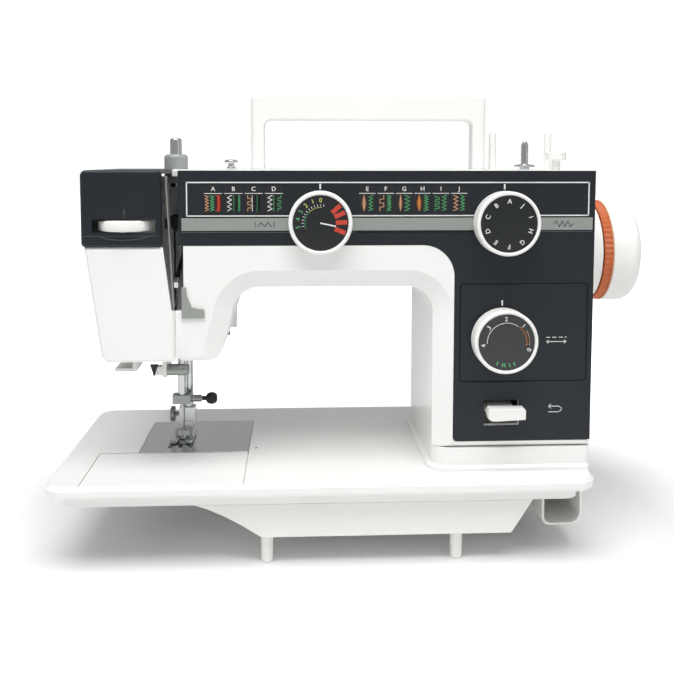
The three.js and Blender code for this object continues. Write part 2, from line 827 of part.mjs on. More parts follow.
// Pressure regulator: a sleeve with a push pin, above the presser bar.
function makeRegulatorSleeve() {
  const { radius, top, pinRadius } = regulator;
  const profile = [
    [pinRadius + gap, 258],
    [radius, 258],
    [radius, top - 1.2],
    [radius - 1.2, top],
    [pinRadius + gap, top],
    [pinRadius + gap, 258],
  ];
  return turned(profile, 20);
}
place(headGroup, "regulator_sleeve", makeRegulatorSleeve(), greyPlastic, [regulator.x, regulator.y, 0]);

function makeRegulatorPin() {
  const { pinRadius, pinTop } = regulator;
  return turned([
    [0, 255],
    [pinRadius, 255],
    [pinRadius, pinTop - 1],
    [pinRadius - 1, pinTop],
    [0, pinTop],
  ], 24);
}
place(headGroup, "regulator_pin", makeRegulatorPin(), chrome, [regulator.x, regulator.y, 0]);

// One frame with an upper and a lower bracket guides the needle bar and the presser bar.
function makeBarFrame() {
  const back = arm.back - 4 - gap;
  const brackets = [
    [143.4, 152],
    [224, 232],
  ].map(([z0, z1]) => block(-139, -4, z0, -110, back, z1));
  const web = block(-139, back - 6, 143.4, -110, back, 232);
  const holes = [needle, presser].map(({ x, y, barRadius }) =>
    rod(barRadius + gap, 140, 240).translate(x, y, 0),
  );
  return cut(join(web, ...brackets), ...holes);
}
place(headGroup, "bar_frame", makeBarFrame(), castMetal);

// ---------------------------------------------------------------- needle bar
const needleGroup = newGroup(headGroup, [needle.x, needle.y, 0]);
const clamp = { z0: 90.5, z1: 97.3, half: 6.8, depth: 4.4 };

place(needleGroup, "needle_bar", rod(needle.barRadius, clamp.z0 + 2, 234, 24), chrome);

function makeNeedleClamp() {
  const body = block(-clamp.half, -clamp.depth, clamp.z0, clamp.half, clamp.depth, clamp.z1);
  const boss = rod(2.6, clamp.half - 1, clamp.half + 8, 20)
    .rotateY(Math.PI / 2)
    .translate(0, 0, (clamp.z0 + clamp.z1) / 2);
  return cut(join(body, boss), rod(needle.barRadius + gap, clamp.z0 + 1.7, clamp.z1 + 1, 24), rod(0.8, 0, 100, 12));
}
place(needleGroup, "needle_clamp", makeNeedleClamp(), steel);

function makeClampScrew() {
  return turned([
    [0, clamp.half + 8 + gap],
    [1.7, clamp.half + 8 + gap],
    [1.7, 18.4],
    [4, 19.6],
    [4.6, 22],
    [4, 25],
    [2.6, 26.6],
    [0, 26.6],
  ], 16);
}
place(needleGroup, "clamp_screw", makeClampScrew(), blackPlastic, [0, 0, (clamp.z0 + clamp.z1) / 2], alongX);

function makeNeedle() {
  const tip = 62.6;
  return turned([
    [0, tip],
    [0.45, tip + 4],
    [0.5, clamp.z0 - 12],
    [0.5 + gap / 3, clamp.z0 - 2],
    [0.5 + gap / 3, clamp.z0 + 1],
    [0, clamp.z0 + 1],
  ], 12);
}
place(needleGroup, "needle", makeNeedle(), chrome);

// ---------------------------------------------------------------- presser bar and foot
const presserGroup = newGroup(headGroup, [presser.x, presser.y, 0]);
const shank = { z0: 68.5, z1: 85, left: -7, right: 5.2, front: -5, back: 5 };

place(presserGroup, "presser_bar", rod(presser.barRadius, 72, 237, 24), chrome);

function makeFootHolder() {
  const body = block(shank.left, shank.front, shank.z0 + 4, shank.right, shank.back, shank.z1);
  const leg = block(-5.5, -5.7, shank.z0, 3.5, 1, shank.z0 + 6);
  const barHole = rod(presser.barRadius + gap, shank.z0 + 3.2, shank.z1 + 1, 24);
  return cut(join(body, leg), barHole);
}
place(presserGroup, "foot_holder", makeFootHolder(), chrome);

function makeFootScrew() {
  return turned([
    [0, 7.3],
    [1.6, 7.3],
    [1.6, 10.4],
    [6, 10.4],
    [6, 13.4],
    [5.2, 14.2],
    [0, 14.2],
  ], 24);
}
place(presserGroup, "foot_screw", makeFootScrew(), steel, [0, 0, 79], [0, -Math.PI / 2, 0]);

const foot = { x: needle.x - presser.x, bottom: 61.9, top: 64.2, front: -23.5, back: 8, half: 8.6 };
function makePresserFoot() {
  const shape = new THREE.Shape();
  const toe = 6.6;
  shape.moveTo(-foot.half, foot.back);
  shape.lineTo(-foot.half, foot.front + toe);
  shape.absarc(-foot.half + toe / 2, foot.front + toe, toe / 2, Math.PI, Math.PI * 2, false);
  shape.lineTo(-foot.half + toe, foot.front + toe + 5);
  shape.lineTo(foot.half - toe, foot.front + toe + 5);
  shape.lineTo(foot.half - toe, foot.front + toe);
  shape.absarc(foot.half - toe / 2, foot.front + toe, toe / 2, Math.PI, Math.PI * 2, false);
  shape.lineTo(foot.half, foot.back);
  shape.closePath();
  const sole = raised(shape, foot.bottom, foot.top, 0, 6);
  const needleSlot = block(-4, -12.3, foot.bottom - 1, 4, -9.2, foot.top + 1);
  const ears = [-6.2, 4.6].map((x) => block(x, -5.4, foot.top - 0.5, x + 1.6, 1, foot.top + 3.9));
  const pin = rod(0.9, -6, 6, 12).rotateY(Math.PI / 2).translate(0, -2.4, foot.top + 3);
  return join(cut(sole, needleSlot), ...ears, pin);
}
place(presserGroup, "presser_foot", makePresserFoot(), chrome, [foot.x, 0, 0]);

// ---------------------------------------------------------------- thread path and head levers
const takeUp = { x: -122.2, y: -6, z: 214, reach: 66, half: 1.4, droop: THREE.MathUtils.degToRad(20) };
function makeTakeUpLever() {
  const hub = rod(6, -takeUp.half, takeUp.half, 24);
  const blade = raised(
    outline([
      [-3, -4],
      [3, -4],
      [2.4, takeUp.reach - 8],
      [3.4, takeUp.reach - 3],
      [2.4, takeUp.reach + 1],
      [-1.6, takeUp.reach + 1],
      [-2.4, takeUp.reach - 6],
    ]),
    -takeUp.half,
    takeUp.half,
  );
  return cut(join(hub, blade), rod(2.2, -5, 5, 20), rod(0.9, -5, 5, 12).translate(0.4, takeUp.reach - 2.4, 0));
}
const takeUpGroup = newGroup(headGroup, [takeUp.x, takeUp.y, takeUp.z]);
takeUpGroup.rotation.x = takeUp.droop;
// The blade is drawn on its pivot, reaching along its own Y, and turned to reach to the front.
place(takeUpGroup, "take_up_lever", makeTakeUpLever(), chrome, [0, 0, 0], [0, Math.PI / 2, Math.PI]);

// A thin bent strip that lines the left side of the take-up slot.
function makeSlotStrip() {
  const low = new THREE.Vector2(-124.4, slot.bottom + 2);
  const high = new THREE.Vector2(-128.6, capBox.top - 4);
  const wide = 0.8;
  return frontal(
    outline([
      [low.x, low.y],
      [low.x + wide, low.y],
      [high.x + wide, high.y],
      [high.x, high.y],
    ]),
    arm.front - 0.4,
    arm.front + 8,
  );
}
place(headGroup, "slot_strip", makeSlotStrip(), satinSilver);

// The boot-shaped guide plate at the foot of the slot.
function makeThreadGuidePlate() {
  const boot = outline([
    [-118.6, 169],
    [-103.5, 169],
    [-103.5, 175],
    [-112, 176.5],
    [-115, 184],
    [-115.6, 190],
    [-118.6, 190],
  ]);
  return frontal(boot, arm.front - gap - 1.2, arm.front - gap);
}
place(headGroup, "thread_guide_plate", makeThreadGuidePlate(), satinSilver);

const topGuide = { x: -87.3, y: -36 };
function makeTopThreadGuide() {
  const base = arm.top + gap;
  return turned([
    [0, base],
    [3, base],
    [3, base + 2],
    [2, base + 2.6],
    [2, base + 4],
    [4.7, base + 4.8],
    [4.7, base + 6],
    [3.8, base + 6.8],
    [0, base + 6.8],
  ], 12);
}
place(headGroup, "top_thread_guide", makeTopThreadGuide(), blackPlastic, [topGuide.x, topGuide.y, 0]);

// Lamp in the head, behind the face cover.
const lamp = { x: -158, y: 6, z: 178 };
function makeLampBulb() {
  return turned([
    [0, -22],
    [5, -20.5],
    [8.4, -15],
    [8.6, -9],
    [6.6, 0],
    [6.6, 12],
    [0, 12],
  ], 24);
}
place(headGroup, "lamp_bulb", makeLampBulb(), clearGlass, [lamp.x, lamp.y, lamp.z]);

// A bent white leaf under the head that keeps the lamp's light off the operator's eyes.
function makeLightShield() {
  return join(
    block(-157.5, -40, 128, -154, -16, 138.6),
    block(-170, -40, 125.8, -154.8, -16, 128.2),
    block(-160, -34, 136.6, -150, 44, 138.4),
    block(-160, 38, 136.6, -150, arm.back - 1, 138.4),
  );
}
place(headGroup, "light_shield", makeLightShield(), whitePlastic);

// The thread cutter: a block with a vee, on an arm from the lower bracket.
function makeThreadCutter() {
  const body = block(-149, -9, 129.5, -141.6, 2, 138.4);
  const armBar = block(-142, -5, 133.6, -134.6, 0.2, 138.6);
  const stem = block(-139, -5, 133.6, -134.6, 0.2, 143.1);
  const vee = frontal(
    outline([
      [-147.8, 139],
      [-143.4, 139],
      [-145.2, 132.4],
      [-146, 132.4],
    ]),
    -12,
    -6,
  );
  return cut(join(body, armBar, stem), vee);
}
place(headGroup, "thread_cutter", makeThreadCutter(), satinSilver);

// The presser lifter: a lever behind the head, on a stub shaft along Y.
function makePresserLifter() {
  const shape = outline([
    [-3.2, -19],
    [3.2, -19],
    [4.4, -4],
    [4, 3],
    [-4, 3],
    [-4.4, -4],
  ]);
  const lever = frontal(shape, arm.back + 1.5, arm.back + 9, 1);
  const stub = rod(3, arm.back - 6, arm.back + 3, 20).rotateX(-Math.PI / 2);
  return join(lever, stub);
}
place(headGroup, "presser_lifter", makePresserLifter(), blackPlastic, [lifter.x, 0, lifter.z], [
  0,
  THREE.MathUtils.degToRad(-14),
  0,
]);

// ---------------------------------------------------------------- handle and top fittings
const topGroup = newGroup(armGroup);

function makeHandle() {
  const outer = roundedRectangle(handle.left, handle.pivotZ - 5.5, handle.right, handle.top, [5, 5, 5, 5]);
  const inner = roundedRectangle(
    handle.left + handle.leg,
    handle.pivotZ - 20,
    handle.right - handle.leg,
    handle.top - handle.bar,
    [0, 0, 5, 5],
  );
  const bail = frontal(outer, handle.y - handle.depth / 2, handle.y + handle.depth / 2, 2);
  const opening = frontal(inner, handle.y - 20, handle.y + 20);
  return cut(bail, opening);
}

place(topGroup, "handle", makeHandle(), whitePlastic);

for (const [index, x] of spoolPins.xs.entries()) {
  const side = index ? "right" : "left";
  const pin = turned([
    [0, spoolPins.bottom],
    [spoolPins.radius, spoolPins.bottom],
    [spoolPins.radius, spoolPins.top - 1],
    [spoolPins.radius - 1, spoolPins.top],
    [0, spoolPins.top],
  ], 20);
  place(topGroup, `spool_pin_${side}`, pin, whitePlastic, [x, spoolPins.y, 0]);
}

function makeWinderSlide() {
  return cut(
    block(-12, -9, arm.castTop - 7, 12, 9, arm.castTop - 2),
    rod(3.2, arm.castTop - 10, arm.castTop),
  );
}
place(topGroup, "winder_slide", makeWinderSlide(), blackPlastic, [winder.x, winder.y, 0]);

function makeWinderSpindle() {
  const low = arm.castTop - 22;
  return turned([
    [0, low],
    [9, low],
    [9, low + 5],
    [2.9, low + 6],
    [2.9, arm.castTop - 1.7],
    [3.6, arm.castTop - 1.7],
    [3.6, arm.top + 2],
    [7.5, arm.top + 2],
    [7.5, arm.top + 3.4],
    [2.6, arm.top + 4],
    [2.6, winder.top - 2],
    [1.6, winder.top],
    [0, winder.top],
  ], 20);
}
place(topGroup, "winder_spindle", makeWinderSpindle(), chrome, [winder.x, winder.y, 0]);

function makeWinderStop() {
  return turned([
    [0, arm.top + gap],
    [5, arm.top + gap],
    [4, arm.top + 3],
    [3.6, stopper.z0],
    [stopper.radius, stopper.z0],
    [stopper.radius, stopper.z1 - 0.8],
    [stopper.radius - 0.8, stopper.z1],
    [0, stopper.z1],
  ], 20);
}
place(topGroup, "winder_stop", makeWinderStop(), whitePlastic, [stopper.x, stopper.y, 0]);

// ---------------------------------------------------------------- main shaft, handwheel and drive
const driveGroup = newGroup(armGroup, [0, shaft.y, shaft.z]);
const wheel = { inner: 163, ringIn: 180.5, ringOut: 186.3, outer: 209.5, radius: 38 };
const belt = { x0: 141, x1: 148, half: 1.2, thick: 3 };
const grooveDepth = 2.5;
const motor = { y: 10, z: 109, radius: 26, x0: 71, x1: 130, pulley: 10 };
const mainPulley = 30;

function grooved(radius, bore, x0, x1) {
  const middle = (x0 + x1) / 2;
  return turned([
    [bore, x0],
    [radius, x0],
    [radius - grooveDepth, middle],
    [radius, x1],
    [bore, x1],
    [bore, x0],
  ], 24);
}

// The main shaft with its crank disc at the head and the belt pulley in the column.
function makeMainShaft() {
  const crank = join(rod(13, -117, -112, 20), rod(2.4, -119.6, -112).translate(0, 9, 0));
  const pulley = grooved(mainPulley, shaft.radius - 1, belt.x0, belt.x1);
  return join(rod(shaft.radius, -117, wheel.outer - 12, 24), crank, pulley);
}
place(driveGroup, "main_shaft", makeMainShaft(), steel, [0, 0, 0], alongX);

function makeHandwheel() {
  const { inner, ringIn, outer, radius } = wheel;
  const ringEnd = wheel.ringOut + 0.5;
  return turned([
    [shaft.radius + gap, inner],
    [radius - 3.5, inner],
    [radius - 2, inner + 1.5],
    [radius - 2, ringIn - 0.5],
    [radius - 6, ringIn - 0.5],
    [radius - 6, ringEnd],
    [radius, ringEnd],
    [radius, outer - 5],
    [radius - 1.4, outer - 1.6],
    [radius - 5, outer],
    [15, outer],
    [15, outer - 9],
    [shaft.radius + gap, outer - 9],
    [shaft.radius + gap, inner],
  ], 36);
}
place(driveGroup, "handwheel", makeHandwheel(), whitePlastic, [0, 0, 0], alongX);

// The ribbed ring let into the handwheel.
function makeGripRing() {
  const { ringIn, ringOut: ringEnd, radius } = wheel;
  const ribs = 24;
  const shape = new THREE.Shape();
  for (let step = 0; step < ribs * 2; step += 1) {
    const angle = (step / (ribs * 2)) * Math.PI * 2;
    const reach = step % 2 ? radius - 0.4 : radius - 1.2;
    const point = [Math.cos(angle) * reach, Math.sin(angle) * reach];
    if (step) shape.lineTo(...point);
    else shape.moveTo(...point);
  }
  shape.closePath();
  return cut(raised(shape, ringIn, ringEnd), rod(radius - 6 + gap, ringIn - 1, ringEnd + 1, 36));
}
place(driveGroup, "grip_ring", makeGripRing(), orangePlastic, [0, 0, 0], alongX);

// The outline of a belt round both pulleys, seen from the side, in (y, z).
function beltOutline(bigRadius, smallRadius) {
  const big = new THREE.Vector2(shaft.y, shaft.z);
  const small = new THREE.Vector2(motor.y, motor.z);
  const span = big.distanceTo(small);
  const heading = Math.atan2(big.y - small.y, big.x - small.x);
  const lean = Math.acos((bigRadius - smallRadius) / span);
  const shape = new THREE.Shape();
  const start = heading - Math.PI + lean;
  const end = heading + Math.PI - lean;
  shape.moveTo(big.x + bigRadius * Math.cos(start), big.y + bigRadius * Math.sin(start));
  shape.absarc(big.x, big.y, bigRadius, start, end, false);
  shape.absarc(small.x, small.y, smallRadius, end, start + Math.PI * 2, false);
  return shape;
}

function makeDriveBelt() {
  const x0 = (belt.x0 + belt.x1) / 2 - belt.half;
  const x1 = x0 + 2 * belt.half;
  const seat = 1.2; // how far the belt sits inside each pulley's rim
  const outer = beltOutline(mainPulley - seat + belt.thick, motor.pulley - seat + belt.thick);
  const inner = beltOutline(mainPulley - seat, motor.pulley - seat);
  return cut(sideways(outer, x0, x1, 0, 10), sideways(inner, x0 - 1, x1 + 1, 0, 10));
}
place(armGroup, "drive_belt", makeDriveBelt(), rubber);

function makeMotor() {
  const { radius, x0, x1 } = motor;
  return turned([
    [0, x0],
    [radius - 4, x0],
    [radius, x0 + 4],
    [radius, x1 - 4],
    [radius - 4, x1],
    [7, x1],
    [7, x1 + 5],
    [0, x1 + 5],
  ], 20);
}
place(armGroup, "motor", makeMotor(), castMetal, [0, motor.y, motor.z], alongX);

const motorPulley = join(
  grooved(motor.pulley, 1, belt.x0, belt.x1),
  rod(3, motor.x1 + 5 + gap, belt.x1, 20),
);
place(armGroup, "motor_pulley", motorPulley, steel, [0, motor.y, motor.z], alongX);

// The link that carries the main shaft's stroke down to the lower shaft's arm.
function makeShuttleLink() {
  const { x0, x1, y, z } = link;
  const strap = sideways(roundedRectangle(-11, shaft.z - 18, 11, shaft.z + 18, 10), x0, x1, 0, 2);
  const strapHole = sideways(roundedRectangle(-7, shaft.z - 13, 7, shaft.z + 13, 6.5), x0 - 1, x1 + 1, 0, 2);
  const eye = sideways(roundedRectangle(y - 6, z - 6, y + 6, z + 6, 5.5), x0, x1, 0, 2);
  const eyeHole = sideways(roundedRectangle(y - 3.6, z - 2.5, y + 3.6, z + 2.5, 2.4), x0 - 2, x1 + 1, 0, 2);
  const bar = sideways(
    outline([
      [y - 3.5, z + 4],
      [y + 3.5, z + 4],
      [4.5, shaft.z - 16],
      [-4.5, shaft.z - 16],
    ]),
    x0,
    x1,
  );
  return cut(join(strap, bar, eye), strapHole, eyeHole);
}
place(armGroup, "shuttle_link", makeShuttleLink(), steel);

export default machine;
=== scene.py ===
import json
import math

import bmesh
import bpy
from mathutils import Matrix, Vector


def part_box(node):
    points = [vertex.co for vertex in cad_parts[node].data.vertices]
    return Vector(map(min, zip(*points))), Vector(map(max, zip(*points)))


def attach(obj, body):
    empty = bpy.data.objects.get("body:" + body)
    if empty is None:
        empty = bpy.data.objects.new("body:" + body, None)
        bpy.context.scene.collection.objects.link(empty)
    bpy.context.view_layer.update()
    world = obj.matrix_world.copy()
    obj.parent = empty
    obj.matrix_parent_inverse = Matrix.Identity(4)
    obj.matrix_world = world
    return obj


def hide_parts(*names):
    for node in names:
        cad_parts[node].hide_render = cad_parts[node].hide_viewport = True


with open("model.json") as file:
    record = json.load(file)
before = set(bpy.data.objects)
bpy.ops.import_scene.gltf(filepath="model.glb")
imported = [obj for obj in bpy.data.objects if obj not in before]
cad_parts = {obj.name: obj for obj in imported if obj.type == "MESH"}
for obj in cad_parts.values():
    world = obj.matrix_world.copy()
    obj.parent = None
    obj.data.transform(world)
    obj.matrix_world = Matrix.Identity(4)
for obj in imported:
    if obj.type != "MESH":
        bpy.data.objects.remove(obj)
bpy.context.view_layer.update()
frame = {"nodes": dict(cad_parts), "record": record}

millimetre = 0.001
bodyOfNode = {
    node: body
    for body, nodes in frame["record"]["behaviour"]["bodies"].items()
    for node in nodes
}
slotOfNode = {part["node"]: part["material_slot"] for part in frame["record"]["subparts"]}

# The camera stands in front of the head end and looks slightly down and to the right.
view = {
    "place": (-0.0420, -0.6363, 0.2740),
    "yaw": 2.76,
    "pitch": 4.45,
    "roll": 0.065,
    "lens": 45.4,
    "sensor": 36,
    "shiftY": -0.1626,
}


def makeCamera():
    data = bpy.data.cameras.new("camera")
    data.lens = view["lens"]
    data.sensor_width = view["sensor"]
    data.shift_y = view["shiftY"]
    data.clip_start = 0.01
    camera = bpy.data.objects.new("camera", data)
    camera.location = view["place"]
    turn = Matrix.Rotation(math.radians(-view["yaw"]), 4, "Z")
    tilt = Matrix.Rotation(math.radians(90 - view["pitch"]), 4, "X")
    bank = Matrix.Rotation(math.radians(view["roll"]), 4, "Z")
    camera.rotation_euler = (turn @ tilt @ bank).to_euler()
    bpy.context.scene.collection.objects.link(camera)
    bpy.context.scene.camera = camera


makeCamera()
print("camera placed")


# materials
def colour(hexValue):
    channels = [int(hexValue[i:i + 2], 16) / 255 for i in (1, 3, 5)]
    linear = [c / 12.92 if c <= 0.04045 else ((c + 0.055) / 1.055) ** 2.4 for c in channels]
    return (*linear, 1.0)


def addNode(tree, kind, values=None, links=None, **settings):
    node = tree.nodes.new(kind)
    for key, value in settings.items():
        setattr(node, key, value)
    for key, value in (values or {}).items():
        node.inputs[key].default_value = value
    for key, source in (links or {}).items():
        tree.links.new(source, node.inputs[key])
    return node


cloudScale = 14.0    # colour drifts over about 70 mm


def surface(
    name, base, rough, metal=0.0, grain=0.4, bump=0.04, drift=0.03, roughDrift=0.06, stretch=None, **sockets
):
    # base colour drifts slightly over a hand's width, roughness and bump at the grain size in millimetres
    material = bpy.data.materials.new(name)
    material.use_nodes = True
    tree = material.node_tree
    shader = tree.nodes["Principled BSDF"]
    shader.inputs["Metallic"].default_value = metal
    for key, value in sockets.items():
        shader.inputs[key.replace("_", " ")].default_value = value
    coords = addNode(tree, "ShaderNodeTexCoord").outputs["Object"]
    if stretch:
        coords = addNode(
            tree, "ShaderNodeMapping", {"Scale": stretch}, {"Vector": coords}
        ).outputs["Vector"]
    cloud = addNode(tree, "ShaderNodeTexNoise", {"Scale": cloudScale, "Detail": 3.0}, {"Vector": coords})
    fine = addNode(
        tree, "ShaderNodeTexNoise", {"Scale": 1 / (grain * millimetre), "Detail": 2.0}, {"Vector": coords}
    )
    dark = colour(base)
    dark = (dark[0] * (1 - drift), dark[1] * (1 - drift), dark[2] * (1 - drift), 1)
    ramp = addNode(tree, "ShaderNodeValToRGB", None, {"Fac": cloud.outputs["Fac"]})
    ramp.color_ramp.elements[0].position = 0.35
    ramp.color_ramp.elements[1].position = 0.65
    ramp.color_ramp.elements[0].color = dark
    ramp.color_ramp.elements[1].color = colour(base)
    tree.links.new(ramp.outputs["Color"], shader.inputs["Base Color"])
    spread = addNode(
        tree,
        "ShaderNodeMapRange",
        {"From Min": 0.3, "From Max": 0.7, "To Min": rough - roughDrift, "To Max": rough + roughDrift},
        {"Value": fine.outputs["Fac"]},
    )
    tree.links.new(spread.outputs["Result"], shader.inputs["Roughness"])
    relief = addNode(
        tree,
        "ShaderNodeBump",
        {"Strength": bump, "Distance": grain * millimetre},
        {"Height": fine.outputs["Fac"]},
    )
    tree.links.new(relief.outputs["Normal"], shader.inputs["Normal"])
    return material


def bakedEnamel():
    # stoved enamel on cast aluminium: a clear, slightly orange-peeled gloss over warm white
    return surface(
        "baked_enamel", "#F4F4F2", 0.3, grain=0.5, bump=0.006, drift=0.015, roughDrift=0.02,
        Coat_Weight=0.3, Coat_Roughness=0.1,
    )


def whiteMoulding():
    # injection-moulded ABS: faint spark texture and a soft sheen
    return surface("white_moulding", "#F4F4F1", 0.4, grain=0.35, bump=0.03, drift=0.02)


def slatePanel():
    # dark blue-grey ABS with a fine eroded grain, which spreads the highlights
    return surface(
        "slate_panel", "#22272C", 0.3, grain=0.3, bump=0.04, drift=0.1, Specular_IOR_Level=0.3
    )


def blackMoulding():
    # black nylon, moulded and lightly polished by handling
    return surface("black_moulding", "#1B1C1E", 0.42, grain=0.3, bump=0.06)


def satinTrim():
    # satin anodised aluminium strip, brushed along its length
    return surface("satin_trim", "#A2A6A1", 0.38, 0.5, grain=0.25, bump=0.05, stretch=(0.04, 1, 1))


def brushedPlate():
    # nickel-plated steel sheet, brushed from front to back
    return surface("brushed_plate", "#D6D8D8", 0.2, 1.0, grain=0.25, bump=0.03, stretch=(1, 0.05, 1))


def chromePlate():
    # bright chrome over polished steel
    return surface("chrome_plate", "#CFD1D3", 0.12, 1.0, grain=0.5, bump=0.01, drift=0.06, roughDrift=0.04)


def turnedSteel():
    # turned and ground steel, with the cutter's faint rings
    return surface("turned_steel", "#9C9EA0", 0.3, 1.0, grain=0.3, bump=0.05, drift=0.08)


def shadedCastAluminium():
    # sand-blasted die casting, its colour darkened as painted shade so the inside of the take-up slot reads
    # dark
    return surface("cast_aluminium_painted_shade", "#3C3F42", 0.6, 0.7, grain=0.6, bump=0.25, drift=0.12)


def orangeMoulding():
    # orange ABS, matt in the ribs
    return surface("orange_moulding", "#CB6A3C", 0.5, grain=0.4, bump=0.06, drift=0.08)


def beltRubber():
    # neoprene belt: dull and slightly dusty
    return surface("belt_rubber", "#232323", 0.82, grain=0.5, bump=0.12, drift=0.15)


def clearMoulding():
    # clear polystyrene
    return surface(
        "clear_moulding", "#EDF1F1", 0.08, grain=1.0, bump=0.01, drift=0.01, roughDrift=0.02,
        Transmission_Weight=0.85, IOR=1.5,
    )


def greyMoulding():
    # mid-grey ABS
    return surface("grey_moulding", "#9DA0A1", 0.25, grain=0.35, bump=0.05)


finishes = {
    "white_enamel": bakedEnamel(),
    "white_plastic": whiteMoulding(),
    "dark_plastic": slatePanel(),
    "black_plastic": blackMoulding(),
    "satin_silver": satinTrim(),
    "plate_steel": brushedPlate(),
    "chrome": chromePlate(),
    "steel": turnedSteel(),
    "cast_metal": shadedCastAluminium(),
    "orange_plastic": orangeMoulding(),
    "rubber": beltRubber(),
    "clear_plastic": clearMoulding(),
    "grey_plastic": greyMoulding(),
}


def printInk(name, base):
    # screen-printed ink: flat, slightly raised and eggshell; the same inks also draw painted highlights and
    # painted shade on the head cap, screw slots and needle plate
    return surface(name, base, 0.45, grain=0.3, bump=0.04, drift=0.04)


inks = {
    "white": printInk("white_ink", "#E9EAE8"),
    "red": printInk("red_ink", "#C6422F"),
    "tan": printInk("tan_ink", "#D5A178"),
    "green": printInk("green_ink", "#4FA66B"),
    "yellow": printInk("yellow_ink", "#C9C76A"),
    "orange": printInk("orange_ink", "#D98A4A"),
    "black": printInk("black_ink", "#131518"),
    "grey": printInk("grey_ink", "#6A7176"),
}
print("finishes made")


# pieces
def finishPiece(name, bm, material, body, replaced=(), bevel=0.0, segments=2, angle=35):
    mesh = bpy.data.meshes.new(name)
    for face in bm.faces:
        face.smooth = True
    bm.to_mesh(mesh)
    bm.free()
    mesh.materials.append(material)
    piece = bpy.data.objects.new(name, mesh)
    bpy.context.scene.collection.objects.link(piece)
    if bevel:
        soften = piece.modifiers.new("soft_edges", "BEVEL")
        soften.width = bevel
        soften.segments = segments
        soften.limit_method = "ANGLE"
        soften.angle_limit = math.radians(angle)
        even = piece.modifiers.new("even_normals", "WEIGHTED_NORMAL")
        even.weight = 100
        even.keep_sharp = True
    else:
        mesh.set_sharp_from_angle(angle=math.radians(angle))
    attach(piece, body)
    if replaced:
        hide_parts(*replaced)
    return piece


def copyOfNode(node):
    bm = bmesh.new()
    bm.from_mesh(frame["nodes"][node].data)
    bmesh.ops.remove_doubles(bm, verts=bm.verts, dist=2e-6)
    bmesh.ops.dissolve_limit(bm, angle_limit=math.radians(0.6), verts=bm.verts, edges=bm.edges)
    return bm


# How far each edge is rounded, in millimetres; a node that isn't named here is made new below.
softened = {
    "arm_casting": 0.8, "bed_plate": 0.8, "base_tray": 1.0, "socket_housing": 0.8, "needle_plate": 0.25,
    "hook_cover": 0.35, "feed_dogs": 0.15, "hook_race": 0.5, "shuttle_hook": 0.3, "bobbin_case": 0.25,
    "lower_shaft": 0.3, "rear_cover": 0.6, "top_cover": 0.9, "front_panel": 0.35, "trim_band": 0.12,
    "reverse_lever": 0.7, "head_cap": 0.9, "face_cover": 1.4, "tension_discs": 0.2, "bar_frame": 0.6,
    "needle_clamp": 0.5, "foot_holder": 0.6, "presser_foot": 0.3, "take_up_lever": 0.3, "slot_strip": 0.2,
    "thread_guide_plate": 0.3, "light_shield": 0.6, "thread_cutter": 0.4, "presser_lifter": 0.5,
    "handle": 1.6, "winder_slide": 0.3, "drive_belt": 0.3, "shuttle_link": 0.3, "motor_pulley": 0.3,
    "foot_front_left": 0.4, "foot_rear_left": 0.4, "foot_front_right": 0.4, "foot_rear_right": 0.4,
}


def softenNodes():
    for node, width in softened.items():
        piece = finishPiece(
            node + "_shell",
            copyOfNode(node),
            finishes[slotOfNode[node]],
            bodyOfNode[node],
            (node,),
            bevel=width * millimetre,
            segments=3 if width > 0.6 else 2,
            angle=22,
        )
        piece.modifiers["soft_edges"].use_clamp_overlap = True


softenNodes()
print("prismatic pieces softened")


# turned pieces
axes = {
    "x": (Vector((1, 0, 0)), Vector((0, 0, 1))),
    "front": (Vector((0, -1, 0)), Vector((0, 0, 1))),
    "z": (Vector((0, 0, 1)), Vector((1, 0, 0))),
}


def spinProfile(bm, profile, centre, axis, steps=72):
    # profile: pairs of radius and height along the axis, in millimetres
    along, side = axes[axis]
    verts = [
        bm.verts.new(Vector(centre) + (side * radius + along * height) * millimetre)
        for radius, height in profile
    ]
    edges = [bm.edges.new(pair) for pair in zip(verts, verts[1:])]
    bmesh.ops.spin(
        bm, geom=verts + edges, cent=centre, axis=along, angle=math.tau, steps=steps, use_merge=True
    )
    bmesh.ops.remove_doubles(bm, verts=bm.verts, dist=1e-6)
    bmesh.ops.recalc_face_normals(bm, faces=bm.faces)


def middle(node):
    low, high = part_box(node)
    return [(a + b) / 2 for a, b in zip(low, high)]


def sizeOf(node):
    # width, depth and height of the node's box, in millimetres
    low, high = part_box(node)
    return [(b - a) / millimetre for a, b in zip(low, high)]


def roundOver(radius, top, corner, end=90, step=15):
    # from the wall at the given radius, over to the top and on to the end angle
    return [
        (radius - corner + corner * math.cos(angle), top - corner + corner * math.sin(angle))
        for angle in [math.radians(degrees) for degrees in range(0, end + 1, step)]
    ]


def turnedPiece(name, node, profile, centre, axis, bevel=0.4, steps=72):
    bm = bmesh.new()
    spinProfile(bm, profile, centre, axis, steps)
    finishPiece(
        name,
        bm,
        finishes[slotOfNode[node]],
        bodyOfNode[node],
        (node,),
        bevel=bevel * millimetre,
        segments=3,
        angle=25,
    )


handwheel = {
    "radius": 38.0,
    "inner": 163.0,      # the face towards the column
    "outer": 209.48,     # the face to the right
    "nose": 9.0,         # rounding of the outer rim
    "hub": 5.3,
    "ringIn": 180.5,
    "ringOut": 186.3,
    "ringWall": 5.7,
    "ridges": 60,
    "ridgeTop": 0.5,     # below the drum's radius
    "ridgeFoot": 1.3,
    "steps": 120,
}


def wheelCentre():
    place = middle("handwheel")
    return (0, place[1], place[2])


